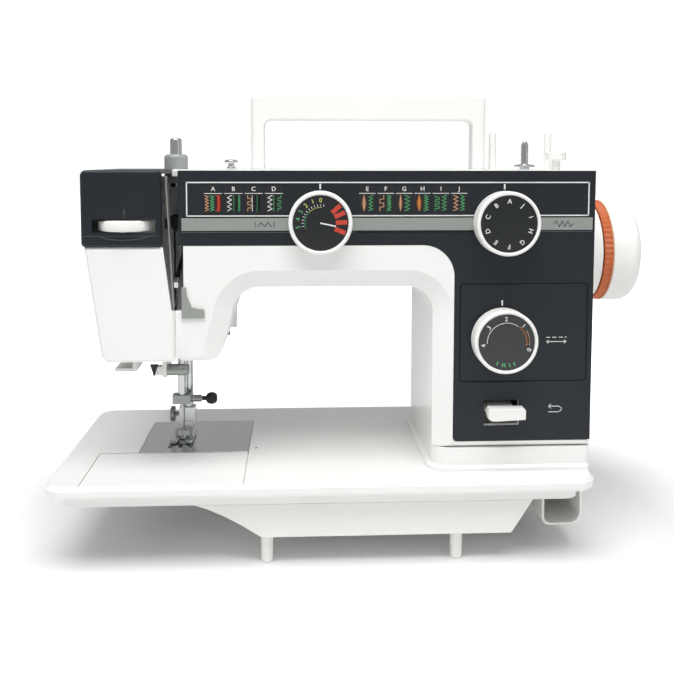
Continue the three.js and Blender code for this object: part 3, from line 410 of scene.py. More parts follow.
def makeDrum():
    r, inner, outer, nose, hub, ringIn, ringOut = (
        handwheel[key] for key in ("radius", "inner", "outer", "nose", "hub", "ringIn", "ringOut")
    )
    profile = [
        (hub, inner), (r - 3.5, inner), (r - 2, inner + 1.5), (r - 1.6, ringIn - 0.9),
        (r - 6, ringIn - 0.6), (r - 6, ringOut + 0.4), (r, ringOut + 0.9), (r, outer - nose - 0.2),
        *roundOver(r, outer, nose, step=9),
        (17, outer), (16, outer - 2), (15, outer - 8), (8, outer - 9), (hub, outer - 9), (hub, inner),
    ]
    turnedPiece(
        "handwheel_drum", "handwheel", profile, wheelCentre(), "x", bevel=0.5, steps=handwheel["steps"]
    )


def ridgedRim(bm, x):
    # one closed line that steps in and out between the ridges
    count = handwheel["ridges"] * 2
    centre = wheelCentre()
    verts = []
    for step in range(count):
        angle = math.tau * step / count
        depth = handwheel["ridgeTop"] if step % 2 else handwheel["ridgeFoot"]
        reach = (handwheel["radius"] - depth) * millimetre
        verts.append(
            bm.verts.new((x, centre[1] + reach * math.sin(angle), centre[2] + reach * math.cos(angle)))
        )
    return [bm.edges.new(pair) for pair in zip(verts, verts[1:] + verts[:1])]


def makeGripRing():
    ringIn, ringOut = handwheel["ringIn"] * millimetre, handwheel["ringOut"] * millimetre
    centre = wheelCentre()
    bm = bmesh.new()
    leftEdges, rightEdges = ridgedRim(bm, ringIn), ridgedRim(bm, ringOut)
    bmesh.ops.bridge_loops(bm, edges=leftEdges + rightEdges)
    # the inner wall, and the two flat sides that join it to the rim
    wall = bmesh.ops.create_circle(
        bm,
        segments=handwheel["ridges"] * 2,
        radius=(handwheel["radius"] - handwheel["ringWall"]) * millimetre,
    )["verts"]
    turn = Matrix.Translation((ringIn, centre[1], centre[2])) @ Matrix.Rotation(math.pi / 2, 4, "Y")
    bmesh.ops.transform(bm, matrix=turn, verts=wall)
    wallEdges = list({edge for vert in wall for edge in vert.link_edges})
    bmesh.ops.bridge_loops(bm, edges=leftEdges + wallEdges)
    grown = bmesh.ops.extrude_edge_only(bm, edges=wallEdges)["geom"]
    far = [item for item in grown if isinstance(item, bmesh.types.BMVert)]
    farEdges = [
        item for item in grown
        if isinstance(item, bmesh.types.BMEdge) and all(vert in far for vert in item.verts)
    ]
    bmesh.ops.translate(bm, vec=(ringOut - ringIn, 0, 0), verts=far)
    bmesh.ops.bridge_loops(bm, edges=rightEdges + farEdges)
    bmesh.ops.remove_doubles(bm, verts=bm.verts, dist=1e-6)
    bmesh.ops.recalc_face_normals(bm, faces=bm.faces)
    finishPiece("grip_ring_fluted", bm, finishes["orange_plastic"], bodyOfNode["grip_ring"], ("grip_ring",))


def makeRingEdge():
    # a pale line where the ring meets the drum
    rim, foot = handwheel["radius"] - 0.15, handwheel["radius"] - 2
    left, right = handwheel["ringOut"] + 0.05, handwheel["ringOut"] + 0.7
    bm = bmesh.new()
    profile = [(foot, left), (rim, left), (rim, right), (foot, right), (foot, left)]
    spinProfile(bm, profile, wheelCentre(), "x", handwheel["steps"])
    finishPiece("grip_ring_edge", bm, inks["tan"], bodyOfNode["handwheel"])


makeDrum()
makeGripRing()
makeRingEdge()


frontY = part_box("front_panel")[0][1]
# the dials' faces: black acrylic under a clear skin
dialBlack = surface(
    "dial_black", "#14191C", 0.16, grain=0.5, bump=0.02, drift=0.1, Coat_Weight=0.5, Coat_Roughness=0.05
)
dials = {
    "width_dial": {"rim": 2.9},
    "selector_dial": {"rim": 2.6},
    "length_dial": {"rim": 2.6},
}
dialShape = {
    "gap": 1.3,         # the knob's back behind the panel's front
    "stem": 2.5,
    "stemLong": 12,
    "sunk": 1.6,        # the knob's floor below its rim
    "face": 0.5,        # the face below the rim
    "steps": 96,
}


def makeDial(node):
    # returns the face's middle as x and z, and its y, for the printing
    x, _, z = middle(node)
    radius = sizeOf(node)[0] / 2
    front = -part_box(node)[0][1] / millimetre
    rear = -frontY / millimetre + dialShape["gap"]
    rim, stem = dials[node]["rim"], dialShape["stem"]
    floor = front - dialShape["sunk"]
    profile = [
        (0, rear - dialShape["stemLong"]), (stem, rear - dialShape["stemLong"]), (stem, rear),
        (radius - 0.8, rear), (radius, rear + 0.8), *roundOver(radius, front, rim / 2, end=180),
        (radius - rim, floor), (0, floor),
    ]
    turnedPiece(node + "_knob", node, profile, (x, 0, z), "front", bevel=0, steps=dialShape["steps"])
    wide, face = radius - rim + 0.05, front - dialShape["face"]
    under = floor + 0.05
    bm = bmesh.new()
    profile = [(0, under), (wide, under), (wide, face - 0.25), (wide - 0.3, face), (0, face)]
    spinProfile(bm, profile, (x, 0, z), "front", dialShape["steps"])
    finishPiece(node + "_face", bm, dialBlack, bodyOfNode[node])
    return (x, z), -face * millimetre


# printing: everything printed is a slab of ink one or two tenths of a millimetre thick
inkThick = 0.12 * millimetre
printed = {}


def inkMesh(ink, body):
    return printed.setdefault((ink, body), bmesh.new())


def inkSlab(bm, centre, width, height, turn=0.0, y=None):
    made = bmesh.ops.create_cube(bm, size=1)["verts"]
    place = (
        Matrix.Translation((centre[0], (y if y is not None else frontY) - inkThick / 2, centre[1]))
        @ Matrix.Rotation(-turn, 4, "Y")
        @ Matrix.Diagonal((width, inkThick, height, 1))
    )
    bmesh.ops.transform(bm, matrix=place, verts=made)


overlap = 0.6        # of a line's width, so that bends close


def inkLine(bm, points, width, y=None):
    for (x0, z0), (x1, z1) in zip(points, points[1:]):
        length = math.hypot(x1 - x0, z1 - z0)
        centre = ((x0 + x1) / 2, (z0 + z1) / 2)
        inkSlab(bm, centre, length + width * overlap, width, math.atan2(z1 - z0, x1 - x0), y)


def inkArc(bm, centre, radius, start, end, width, y, steps=16):
    angles = [math.radians(start + (end - start) * step / steps) for step in range(steps + 1)]
    points = [(centre[0] + radius * math.sin(a), centre[1] + radius * math.cos(a)) for a in angles]
    inkLine(bm, points, width, y)


capHeight = 0.7      # of the lettering's size
boldness = 0.012


def inkText(bm, words, height, centre, y=None, turn=0.0):
    curve = bpy.data.curves.new("lettering", "FONT")
    curve.body = words
    curve.size = height / capHeight
    curve.align_x = "CENTER"
    curve.align_y = "CENTER"
    curve.extrude = inkThick / 2
    curve.offset = height * boldness
    curve.resolution_u = 3
    lettering = bpy.data.objects.new("lettering", curve)
    bpy.context.scene.collection.objects.link(lettering)
    depsgraph = bpy.context.evaluated_depsgraph_get()
    mesh = bpy.data.meshes.new_from_object(lettering.evaluated_get(depsgraph))
    bpy.data.objects.remove(lettering)
    place = (
        Matrix.Translation((centre[0], (y if y is not None else frontY) - inkThick / 2, centre[1]))
        @ Matrix.Rotation(turn, 4, "Y")
        @ Matrix.Rotation(math.pi / 2, 4, "X")
    )
    mesh.transform(place)
    bm.from_mesh(mesh)
    bpy.data.meshes.remove(mesh)


def polar(centre, radius, degrees):
    angle = math.radians(degrees)
    return (centre[0] + radius * math.sin(angle), centre[1] + radius * math.cos(angle))


# what is printed on the dials: radii and sizes in millimetres, angles in degrees from the top
widthPrint = {
    "numbers": "543210",
    "numberRadius": 15,
    "numberHeight": 2.9,
    "angles": range(-100, 20, 20),
    "blocks": (48, 66, 88, 112),
    "blockIn": 11,
    "blockOut": 16.6,
    "blockWide": 3.0,
    "tickRadius": 12.4,
    "tickLong": 1.2,
    "tickWide": 0.35,
    "arcRadius": 10.4,
    "arcWide": 0.4,
    "pointer": 102,
    "pointerLong": 10,
    "pointerWide": 0.9,
}


def dialBlocks(bm, centre, y, inner, outer, width, angles):
    for angle in angles:
        ends = [polar(centre, inner * millimetre, angle), polar(centre, outer * millimetre, angle)]
        inkLine(bm, ends, width * millimetre, y)


def dialLetter(bm, letter, height, centre, radius, angle, y):
    place = polar(centre, radius * millimetre, angle)
    inkText(bm, letter, height * millimetre, place, y, math.radians(angle))


def printWidthDial():
    centre, y = makeDial("width_dial")
    look = widthPrint
    red, yellow, green, white = (
        inkMesh(ink, bodyOfNode["width_dial"]) for ink in ("red", "yellow", "green", "white")
    )
    dialBlocks(red, centre, y, look["blockIn"], look["blockOut"], look["blockWide"], look["blocks"])
    for number, angle in zip(look["numbers"], look["angles"]):
        ink = green if number in "543" else yellow
        dialLetter(ink, number, look["numberHeight"], centre, look["numberRadius"], angle, y)
    tickIn = look["tickRadius"] - look["tickLong"]
    dialBlocks(white, centre, y, tickIn, look["tickRadius"], look["tickWide"], range(-100, 20, 10))
    arcRadius, arcWide = look["arcRadius"] * millimetre, look["arcWide"] * millimetre
    inkArc(green, centre, arcRadius, -110, -50, arcWide, y)
    inkArc(yellow, centre, arcRadius, -50, 4, arcWide, y)
    tip = polar(centre, look["pointerLong"] * millimetre, look["pointer"])
    inkLine(white, [centre, tip], look["pointerWide"] * millimetre, y)


selectorPrint = {"letters": "AJIHGFEDCB", "radius": 14.9, "height": 3.1}


def printSelectorDial():
    centre, y = makeDial("selector_dial")
    white = inkMesh("white", bodyOfNode["selector_dial"])
    letters = selectorPrint["letters"]
    for index, letter in enumerate(letters):
        angle = index * 360 / len(letters)
        dialLetter(white, letter, selectorPrint["height"], centre, selectorPrint["radius"], angle, y)


lengthPrint = {
    "numbers": "43210",
    "numberRadius": 15.7,
    "numberHeight": 2.9,
    "angles": (-97, -50, -2, 45, 108),
    "arcs": (    # ink, radius, start, end and width
        ("white", 13.2, -92, 34, 0.4),
        ("orange", 13.4, 40, 96, 0.8),
        ("tan", 15.4, 60, 96, 0.5),
    ),
    "blocks": (160, 172, 184, 190, 204),
    "blockIn": 14.4,
    "blockOut": 16.4,
    "blockWide": 0.9,
}


def printLengthDial():
    centre, y = makeDial("length_dial")
    body = bodyOfNode["length_dial"]
    look = lengthPrint
    white, green = inkMesh("white", body), inkMesh("green", body)
    for number, angle in zip(look["numbers"], look["angles"]):
        dialLetter(white, number, look["numberHeight"], centre, look["numberRadius"], angle, y)
    for ink, radius, start, end, width in look["arcs"]:
        inkArc(inkMesh(ink, body), centre, radius * millimetre, start, end, width * millimetre, y)
    dialBlocks(green, centre, y, look["blockIn"], look["blockOut"], look["blockWide"], look["blocks"])


printWidthDial()
printSelectorDial()
printLengthDial()
print("dials made")


def makeTensionDial():
    x, y, _ = middle("tension_dial")
    wide, _, tall = sizeOf("tension_dial")
    radius, bore = wide / 2, 2.2
    profile = [
        (bore, 0), (radius - 1.6, 0), (radius - 0.5, 0.4), (radius - 0.1, 1.3), (radius - 0.1, tall - 1.3),
        (radius - 0.5, tall - 0.4), (radius - 1.6, tall), (bore, tall), (bore, 0),
    ]
    place = (x, y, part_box("tension_dial")[0][2])
    turnedPiece("tension_wheel", "tension_dial", profile, place, "z", bevel=0, steps=96)


makeTensionDial()


def alongZ(node, profile, name, steps=48, bevel=0.3):
    # profile heights are counted from the bottom of the node's box
    x, y, _ = middle(node)
    turnedPiece(name, node, profile, (x, y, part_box(node)[0][2]), "z", bevel=bevel, steps=steps)


def alongX(node, profile, name, steps=48, bevel=0.3):
    # profile heights are counted from the low-X end of the node's box
    _, y, z = middle(node)
    turnedPiece(name, node, profile, (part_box(node)[0][0], y, z), "x", bevel=bevel, steps=steps)


def makeBar(node, name):
    wide, _, tall = sizeOf(node)
    alongZ(node, [(0, 0), (wide / 2, 0), (wide / 2, tall), (0, tall)], name, bevel=0.6)


makeBar("needle_bar", "needle_bar_ground")
makeBar("presser_bar", "presser_bar_ground")

regulator = {"bore": 4.6, "shoulder": 2.6, "crown": 1.6}


def makeRegulator():
    wide, _, tall = sizeOf("regulator_sleeve")
    radius, bore = wide / 2, regulator["bore"]
    alongZ(
        "regulator_sleeve",
        [(bore, 0), (radius - 0.2, 0), (radius, 2), *roundOver(radius, tall, regulator["shoulder"]),
         (5, tall), (bore, tall - 0.4), (bore, 0)],
        "regulator_collar",
        bevel=0,
    )
    wide, _, tall = sizeOf("regulator_pin")
    crown = roundOver(wide / 2, tall, regulator["crown"])
    alongZ("regulator_pin", [(0, 0), (wide / 2, 0), *crown, (0, tall)], "regulator_plunger", bevel=0)


makeRegulator()


def makeSpoolPin(node):
    wide, _, tall = sizeOf(node)
    tip = roundOver(wide / 2, tall, wide / 2)[:-1]
    alongZ(node, [(0, 0), (wide / 2, 0), *tip, (0, tall)], node + "_moulded", bevel=0)


def makeWinderStop():
    tall = sizeOf("winder_stop")[2]
    stem, head, flange = 3, 7, 6
    alongZ(
        "winder_stop",
        [(0, 0), (stem, 0), (stem, tall - flange), (head - 0.6, tall - flange), (head, tall - flange + 0.6),
         (head, tall - 0.8), (head - 0.8, tall), (0, tall)],
        "winder_stop_moulded",
    )


makeSpoolPin("spool_pin_left")
makeSpoolPin("spool_pin_right")
makeWinderStop()


def makeClampScrew():
    alongX(
        "clamp_screw",
        [(0, 0), (1.7, 0), (1.7, 3), (3.6, 4), (4.5, 6.6), (4.5, 8), (3.9, 10), (2.6, 11.3), (0, 11.5)],
        "clamp_screw_knob",
    )


def makeFootScrew():
    # the head is at the left, so its heights run back from the right end
    _, y, z = middle("foot_screw")
    bm = bmesh.new()
    profile = [
        (0, 0), (1.6, 0), (1.6, -3.1), (4.8, -3.1), (5.9, -3.6), (5.9, -6.1), (5.2, -6.8), (0, -6.8)
    ]
    spinProfile(bm, profile, (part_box("foot_screw")[1][0], y, z), "x", 48)
    finishPiece(
        "foot_screw_head", bm, finishes["steel"], bodyOfNode["foot_screw"], ("foot_screw",),
        bevel=0.25 * millimetre,
    )


def makeNeedle():
    tall = sizeOf("needle")[2]
    shank, blade = 0.58, 0.48
    alongZ(
        "needle",
        [(0, 0), (0.2, 1.2), (0.42, 4.5), (blade, tall - 13), (shank, tall - 9), (shank, tall), (0, tall)],
        "needle_polished",
        bevel=0,
        steps=24,
    )


def makeThreadGuideKnob():
    alongZ(
        "top_thread_guide",
        [(0, 0), (3, 0), (3, 1.6), (2.1, 2.4), (2, 4), (4.2, 4.4), (4.7, 5), (4.6, 6), (3.4, 6.7), (0, 6.8)],
        "top_thread_guide_moulded",
    )


winderSpindle = {"foot": 9, "rod": 2.9, "collar": 3.5, "flange": 7.4, "tip": 2.6, "aboveFlange": 18.4}


def makeWinderSpindle():
    foot, rod, collar, flange, tip, above = winderSpindle.values()
    tall = sizeOf("winder_spindle")[2]
    under = tall - above
    alongZ(
        "winder_spindle",
        [
            (0, 0), (foot, 0), (foot, 5), (rod, 6), (rod, under - 4), (collar, under - 3.6),
            (collar, under), (flange, under), (flange, under + 1.4), (tip, under + 2),
            (tip, tall - 2.4), (1.6, tall), (0, tall),
        ],
        "winder_spindle_turned",
    )


mainShaft = {
    "rod": 5,
    "disc": 12.9,
    "discIn": 2.7,
    "discOut": 7.5,
    "rim": 29.9,
    "groove": 27.4,
    "pulleyLeft": 141,    # in the part's own x
    "pulleyRight": 148,
}


def makeMainShaft():
    # crank disc, shaft, grooved belt pulley, shaft end: heights from the crank pin's end
    long = sizeOf("main_shaft")[0]
    shift = -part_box("main_shaft")[0][0] / millimetre
    left, right = mainShaft["pulleyLeft"] + shift, mainShaft["pulleyRight"] + shift
    rod, disc, rim = mainShaft["rod"], mainShaft["disc"], mainShaft["rim"]
    profile = [
        (0, mainShaft["discIn"]), (disc, mainShaft["discIn"]), (disc, mainShaft["discOut"]),
        (rod, mainShaft["discOut"] + 0.1), (rod, left), (rim, left),
        (mainShaft["groove"], (left + right) / 2), (rim, right), (rod, right),
        (rod, long - 0.6), (rod - 0.6, long), (0, long),
    ]
    alongX("main_shaft", profile, "main_shaft_turned", steps=72)


motor = {"radius": 25.9, "shaft": 6.9, "shaftOut": 5, "grooves": 9, "grooveFloor": 25}


def makeMotor():
    long = sizeOf("motor")[0]
    case = long - motor["shaftOut"]
    radius, floor, shaft = motor["radius"], motor["grooveFloor"], motor["shaft"]
    ribs = []
    for step in range(motor["grooves"]):
        at = 8 + step * (case - 16) / (motor["grooves"] - 1)
        ribs += [(radius, at - 1.5), (radius, at), (floor, at + 0.4), (floor, at + 1.4)]
    alongX(
        "motor",
        [(0, 0), (21, 0), (24.6, 1.6), (radius, 5), *ribs, (radius, case - 5), (24.6, case - 1.6),
         (21, case), (shaft, case), (shaft, long), (0, long)],
        "motor_case",
        steps=72,
    )


def makeLamp():
    glassRadius, cap = 8.5, 6.5
    tall = sizeOf("lamp_bulb")[2]
    glass = [
        (glassRadius * math.sin(angle), glassRadius + 0.1 - glassRadius * math.cos(angle))
        for angle in [math.radians(degrees) for degrees in range(10, 111, 10)]
    ]
    alongZ("lamp_bulb", [(0, 0.1), *glass, (cap, 20), (cap, tall), (0, tall)], "lamp_glass", bevel=0)


def makeBobbin():
    x, _, z = middle("bobbin")
    long = sizeOf("bobbin")[1]
    bore, hub, flange = 2.8, 3.9, 9.4
    bm = bmesh.new()
    profile = [
        (bore, 0), (flange, 0), (flange + 0.1, 0.4), (flange, 0.9), (hub, 1.2), (hub, long - 1.2),
        (flange, long - 0.9), (flange + 0.1, long - 0.4), (flange, long), (bore, long), (bore, 0),
    ]
    spinProfile(bm, profile, (x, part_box("bobbin")[1][1], z), "front", 72)
    finishPiece("bobbin_moulded", bm, finishes["clear_plastic"], bodyOfNode["bobbin"], ("bobbin",))


def makeCrankPin():
    _, y, z = middle("main_shaft")
    radius, long, throw = 2.4, 3, 9
    bm = bmesh.new()
    place = (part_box("main_shaft")[0][0], y, z + throw * millimetre)
    spinProfile(bm, [(0, 0), (radius - 0.4, 0), (radius, 0.4), (radius, long), (0, long)], place, "x", 32)
    finishPiece("crank_pin", bm, finishes["steel"], bodyOfNode["main_shaft"])


makeClampScrew()
makeFootScrew()
makeNeedle()
makeThreadGuideKnob()
makeWinderSpindle()
makeMainShaft()
makeMotor()
makeLamp()
makeBobbin()
makeCrankPin()
print("turned pieces made")


# small fittings that only show
def boxPiece(name, low, high, material, body, bevel):
    bm = bmesh.new()
    verts = bmesh.ops.create_cube(bm, size=1)["verts"]
    low, high = Vector(low) * millimetre, Vector(high) * millimetre
    place = Matrix.Translation((low + high) / 2) @ Matrix.Diagonal((*(high - low), 1))
    bmesh.ops.transform(bm, matrix=place, verts=verts)
    bmesh.ops.bevel(
        bm, geom=bm.edges[:], offset=bevel * millimetre, segments=3, profile=0.5, affect="EDGES", material=-1
    )
    finishPiece(name, bm, material, body, angle=50)


coverScrew = {
    "profile": [(0, 0), (3.4, 0), (3.3, -0.7), (2.6, -1.05), (0.9, -1.1), (0.5, -0.5), (0, -0.5)],
    "slotLong": 4.6,
    "slotWide": 0.7,
    "slotTurn": 0.6,
    "slotOut": 1.2,
    "fromEdge": 8,      # of the cover, at either side
    "fromTop": 35,
    "fromFoot": 9,
    "middle": 122,      # the left side's lower screw, above the cover's foot
    "inner": 63.5,      # x of the screw at the foot's inner end
}


def makeScrews():
    # pan-head screws in the rear cover
    body = bodyOfNode["rear_cover"]
    low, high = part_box("rear_cover")
    edge = coverScrew["fromEdge"] * millimetre
    left, right = low[0] + edge, high[0] - edge
    top, foot = high[2] - coverScrew["fromTop"] * millimetre, low[2] + coverScrew["fromFoot"] * millimetre
    places = [
        (left, top), (left, low[2] + coverScrew["middle"] * millimetre), (right, top), (right, foot),
        (coverScrew["inner"] * millimetre, foot),
    ]
    slotLong, slotWide, slotOut = (
        coverScrew[key] * millimetre for key in ("slotLong", "slotWide", "slotOut")
    )
    for index, (x, z) in enumerate(places):
        bm = bmesh.new()
        spinProfile(bm, coverScrew["profile"], (x, high[1], z), "front", 32)
        finishPiece(f"cover_screw_{index}", bm, finishes["steel"], body)
        # each screw's slot is a flat black ink slab, painted shade standing in for the recess
        bm = bmesh.new()
        inkSlab(bm, (x, z), slotLong, slotWide, coverScrew["slotTurn"], high[1] + slotOut)
        finishPiece(f"cover_screw_slot_painted_shade_{index}", bm, inks["black"], body)


# low corner, high corner, finish, the node it is fixed to and its edge, in millimetres
smallBlocks = {
    # the casting's left edge below the take-up slot, flush with the front
    "head_seam_strip": ((-123.0, -68.95, 141.5), (-115.0, -63, 174), "white_enamel", "arm_casting", 0.6),
    # the bracket under the head that holds the small shaded lamp
    "lamp_bracket": ((-139, -26, 117.5), (-136, 2, 145), "white_plastic", "bar_frame", 0.5),
    "lamp_bracket_lug": ((-146, -26, 119), (-138, -20, 126), "white_plastic", "bar_frame", 0.5),
}
lampBarrel = {"place": (-136.5, -21.5, 122.5), "radius": 4.2, "long": 16.4}
threadNotch = {"left": -147.8, "right": -141.8, "top": 127.5, "tip": 118.5, "front": -26.8, "rear": -24.8}
guideHole = {"place": (-72.2, -15.3), "radius": 1.1, "sunk": 0.02, "tall": 0.1}


def makeLampBarrel():
    radius, long = lampBarrel["radius"], lampBarrel["long"]
    bm = bmesh.new()
    profile = [
        (0, 0), (radius - 0.6, 0), (radius, 0.6), (radius, long - 2.4), (radius - 0.5, long - 1.8),
        (radius - 0.5, long - 0.4), (radius - 1.2, long), (0, long),
    ]
    spinProfile(bm, profile, [value * millimetre for value in lampBarrel["place"]], "x", 40)
    finishPiece("lamp_barrel", bm, finishes["satin_silver"], bodyOfNode["bar_frame"])


def makeThreadNotch():
    # the cutter's V notch is a black wedge, painted shade standing in for the notch's dark opening
    left, right, top, tip, front, rear = (value * millimetre for value in threadNotch.values())
    bm = bmesh.new()
    wedge = [bm.verts.new((x, front, z)) for x, z in ((left, top), (right, top), ((left + right) / 2, tip))]
    face = bm.faces.new(wedge)
    grown = bmesh.ops.extrude_face_region(bm, geom=[face], use_keep_orig=True)["geom"]
    back = [item for item in grown if isinstance(item, bmesh.types.BMVert)]
    bmesh.ops.translate(bm, vec=(0, rear - front, 0), verts=back)
    bmesh.ops.recalc_face_normals(bm, faces=bm.faces)
    finishPiece(
        "thread_notch_painted_shade", bm, finishes["black_plastic"], bodyOfNode["bar_frame"],
        bevel=0.2 * millimetre,
    )


def makeGuideHole():
    # the hole is a thin black ink disc on the needle plate, painted shade standing in for its dark inside
    radius, tall = guideHole["radius"], guideHole["tall"]
    x, y = (value * millimetre for value in guideHole["place"])
    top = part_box("needle_plate")[1][2] - guideHole["sunk"] * millimetre
    bm = bmesh.new()
    spinProfile(bm, [(0, 0), (radius, 0), (radius - 0.1, tall), (0, tall)], (x, y, top), "z", 24)
    finishPiece("guide_hole_painted_shade", bm, inks["black"], bodyOfNode["bed_plate"])


for name, (low, high, finish, node, edge) in smallBlocks.items():
    boxPiece(name, low, high, finishes[finish], bodyOfNode[node], edge)
makeLampBarrel()
makeThreadNotch()
makeGuideHole()
print("small fittings made")


# panel printing
def toMetres(points):
    return [(x * millimetre, z * millimetre) for x, z in points]


panelBody = bodyOfNode["front_panel"]
panelWhite = inkMesh("white", panelBody)


panelFrame = {"left": -114.5, "right": 156.3, "bottom": 237.6, "top": 259.9, "line": 0.8}


def printPanelFrame():
    left, right, bottom, top, line = panelFrame.values()
    corners = [(left, bottom), (left, top), (right, top), (right, bottom), (left, bottom)]
    inkLine(panelWhite, toMetres(corners), line * millimetre)


def zigzag(turns, reach, tall):
    return [(reach if step % 2 else -reach, tall * step / turns) for step in range(turns + 1)]


def blanket(turns, reach, tall):
    points = []
    for step in range(turns):
        z = tall * (step + 0.5) / turns
        points += [(-reach, z), (reach, z), (-reach, z)]
    return [(-reach, 0), *points, (-reach, tall)]


def blockStep(turns, reach, tall):
    points = []
    for step in range(turns):
        side = reach if step % 2 else -reach
        points += [(side, tall * step / turns), (side, tall * (step + 1) / turns)]
    return points


def satinLeaf(turns, reach, tall):
    points = []
    for step in range(turns + 1):
        side = reach if step % 2 else -reach
        points.append((side * math.sin(math.pi * (step + 0.5) / (turns + 1)), tall * step / turns))
    return points


stitches = {
    # columns in each window: pattern, turns, half width, place across the window, and ink
    "A": [(zigzag, 10, 1.3, -4.2, "tan"), (zigzag, 12, 1.5, -0.6, "green"), (zigzag, 30, 1.6, 3.6, "red")],
    "B": [(zigzag, 7, 1.5, -2.6, "white"), (blanket, 7, 1.5, 1.8, "green"), (zigzag, 14, 0.8, 3.8, "green")],
    "C": [(blockStep, 5, 1.3, -2.6, "tan"), (blanket, 6, 1.5, 0.6, "white"), (blanket, 8, 1.1, 3.4, "green")],
    "D": [
        (zigzag, 7, 1.6, -2.6, "white"), (blanket, 5, 1.2, 1.2, "green"), (blockStep, 6, 1.1, 3.6, "green")
    ],
    "E": [(satinLeaf, 26, 1.6, -2.2, "tan"), (zigzag, 9, 1.4, 2.4, "green")],
    "F": [(blockStep, 4, 1.3, -2.6, "tan"), (zigzag, 14, 1.5, 2.4, "green")],
    "G": [(satinLeaf, 22, 1.3, -2.4, "tan"), (zigzag, 8, 1.7, 2.2, "green")],
    "H": [(satinLeaf, 30, 2.0, -2.2, "orange"), (zigzag, 12, 1.6, 2.6, "green")],
    "I": [(blockStep, 7, 1.3, -2.4, "green"), (zigzag, 9, 1.6, 2.4, "green")],
    "J": [(zigzag, 8, 1.7, -2.2, "tan"), (zigzag, 10, 1.5, 2.4, "green")],
}


stitchWindow = {
    "patternFoot": 240.9,
    "patternTall": 10.4,
    "thread": 0.42,
    "middle": 246.15,     # of the window's black ground
    "tall": 11.3,
    "letterMiddle": 255.5,
    "letterGround": 4.2,
    "letterTall": 2.9,
    "rule": 252.6,
    "ruleLine": 0.4,
}
windowRows = [("ABCD", -97, 13.4, 11.6), ("EFGHIJ", 5.6, 12.4, 10.8)]    # letters, first x, pitch and width


def printStitch(letter, x, wide):
    dark = inkMesh("black", panelBody)
    look = {key: value * millimetre for key, value in stitchWindow.items()}
    inkSlab(dark, (x * millimetre, look["middle"]), wide * millimetre, look["tall"])
    inkSlab(dark, (x * millimetre, look["letterMiddle"]), wide * millimetre, look["letterGround"])
    rule = [((x + side * wide / 2) * millimetre, look["rule"]) for side in (-1, 1)]
    inkLine(panelWhite, rule, look["ruleLine"])
    y = frontY - inkThick
    foot, tall = stitchWindow["patternFoot"], stitchWindow["patternTall"]
    for pattern, turns, reach, place, ink in stitches[letter]:
        spots = toMetres([(x + place + px, foot + pz) for px, pz in pattern(turns, reach, tall)])
        inkLine(inkMesh(ink, panelBody), spots, look["thread"], y)
    inkText(panelWhite, letter, look["letterTall"], (x * millimetre, look["letterMiddle"]), y)


def printStitchWindows():
    for letters, first, pitch, wide in windowRows:
        for index, letter in enumerate(letters):
            printStitch(letter, first + index * pitch, wide)


printPanelFrame()
printStitchWindows()


# strokes about each icon's centre: pairs of x and z, in millimetres
icons = {
    "width": [
        [(-7, -2), (-7, 2)], [(7, -2), (7, 2)], [(-5, -1.6), (-2.5, 1.6), (0, -1.6), (2.5, 1.6), (5, -1.6)]
    ],
    "pattern": [[(-7, 0), (-5, 2), (-3, -2), (-1, 2), (1, -2), (3, 2), (5, -2), (7, 0)]],
    "length": [
        [(-7, 1.2), (-4.4, 1.2)], [(-2.6, 1.2), (0, 1.2)], [(1.8, 1.2), (4.4, 1.2)], [(6, 1.2), (7, 1.2)],
        [(-7, -1.8), (7, -1.8)], [(5.4, -0.8), (7, -1.8), (5.4, -2.8)],
        [(-5.4, -0.8), (-7, -1.8), (-5.4, -2.8)],
    ],
    "reverse": [
        [(-5, -2), (3, -2), (5, -0.6), (5, 1), (3, 2.4), (-5, 2.4)], [(-3.2, 4), (-5, 2.4), (-3.2, 0.8)]
    ],
}
# place, scale, ink and the node that carries it
iconPlaces = {
    "width": ((-63, 231.9), 0.9, "black", "trim_band"),
    "pattern": ((139, 231.9), 0.95, "black", "trim_band"),
    "length": ((136, 152.7), 1.0, "white", "front_panel"),
    "reverse": ((136, 103.6), 0.9, "white", "front_panel"),
}
iconLine = 0.45


def printIcons():
    for name, ((x, z), scale, ink, node) in iconPlaces.items():
        bm = inkMesh(ink, bodyOfNode[node])
        for stroke in icons[name]:
            points = toMetres([(x + px * scale, z + pz * scale) for px, pz in stroke])
            inkLine(bm, points, iconLine * millimetre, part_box(node)[0][1])


dialMark = {"from": 1.2, "to": 4.2, "wide": 1.1}


def printDialMarks():
    # a short white mark above each dial shows the setting
    start, end, wide = (value * millimetre for value in dialMark.values())
    for node in dials:
        x, top = middle(node)[0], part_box(node)[1][2]
        inkLine(panelWhite, [(x, top + start), (x, top + end)], wide)


capMarks = {
    "tickFoot": 5.2,      # above the tension wheel's middle
    "tickTop": 11.2,
    "seamDrop": 6.2,
    "seamEdge": 1.8,
    "seamGap": 21.5,      # half the opening for the wheel
    "hollowWide": 16.5,
    "hollowTall": 3.4,
    "hollowDrop": 5.2,
}


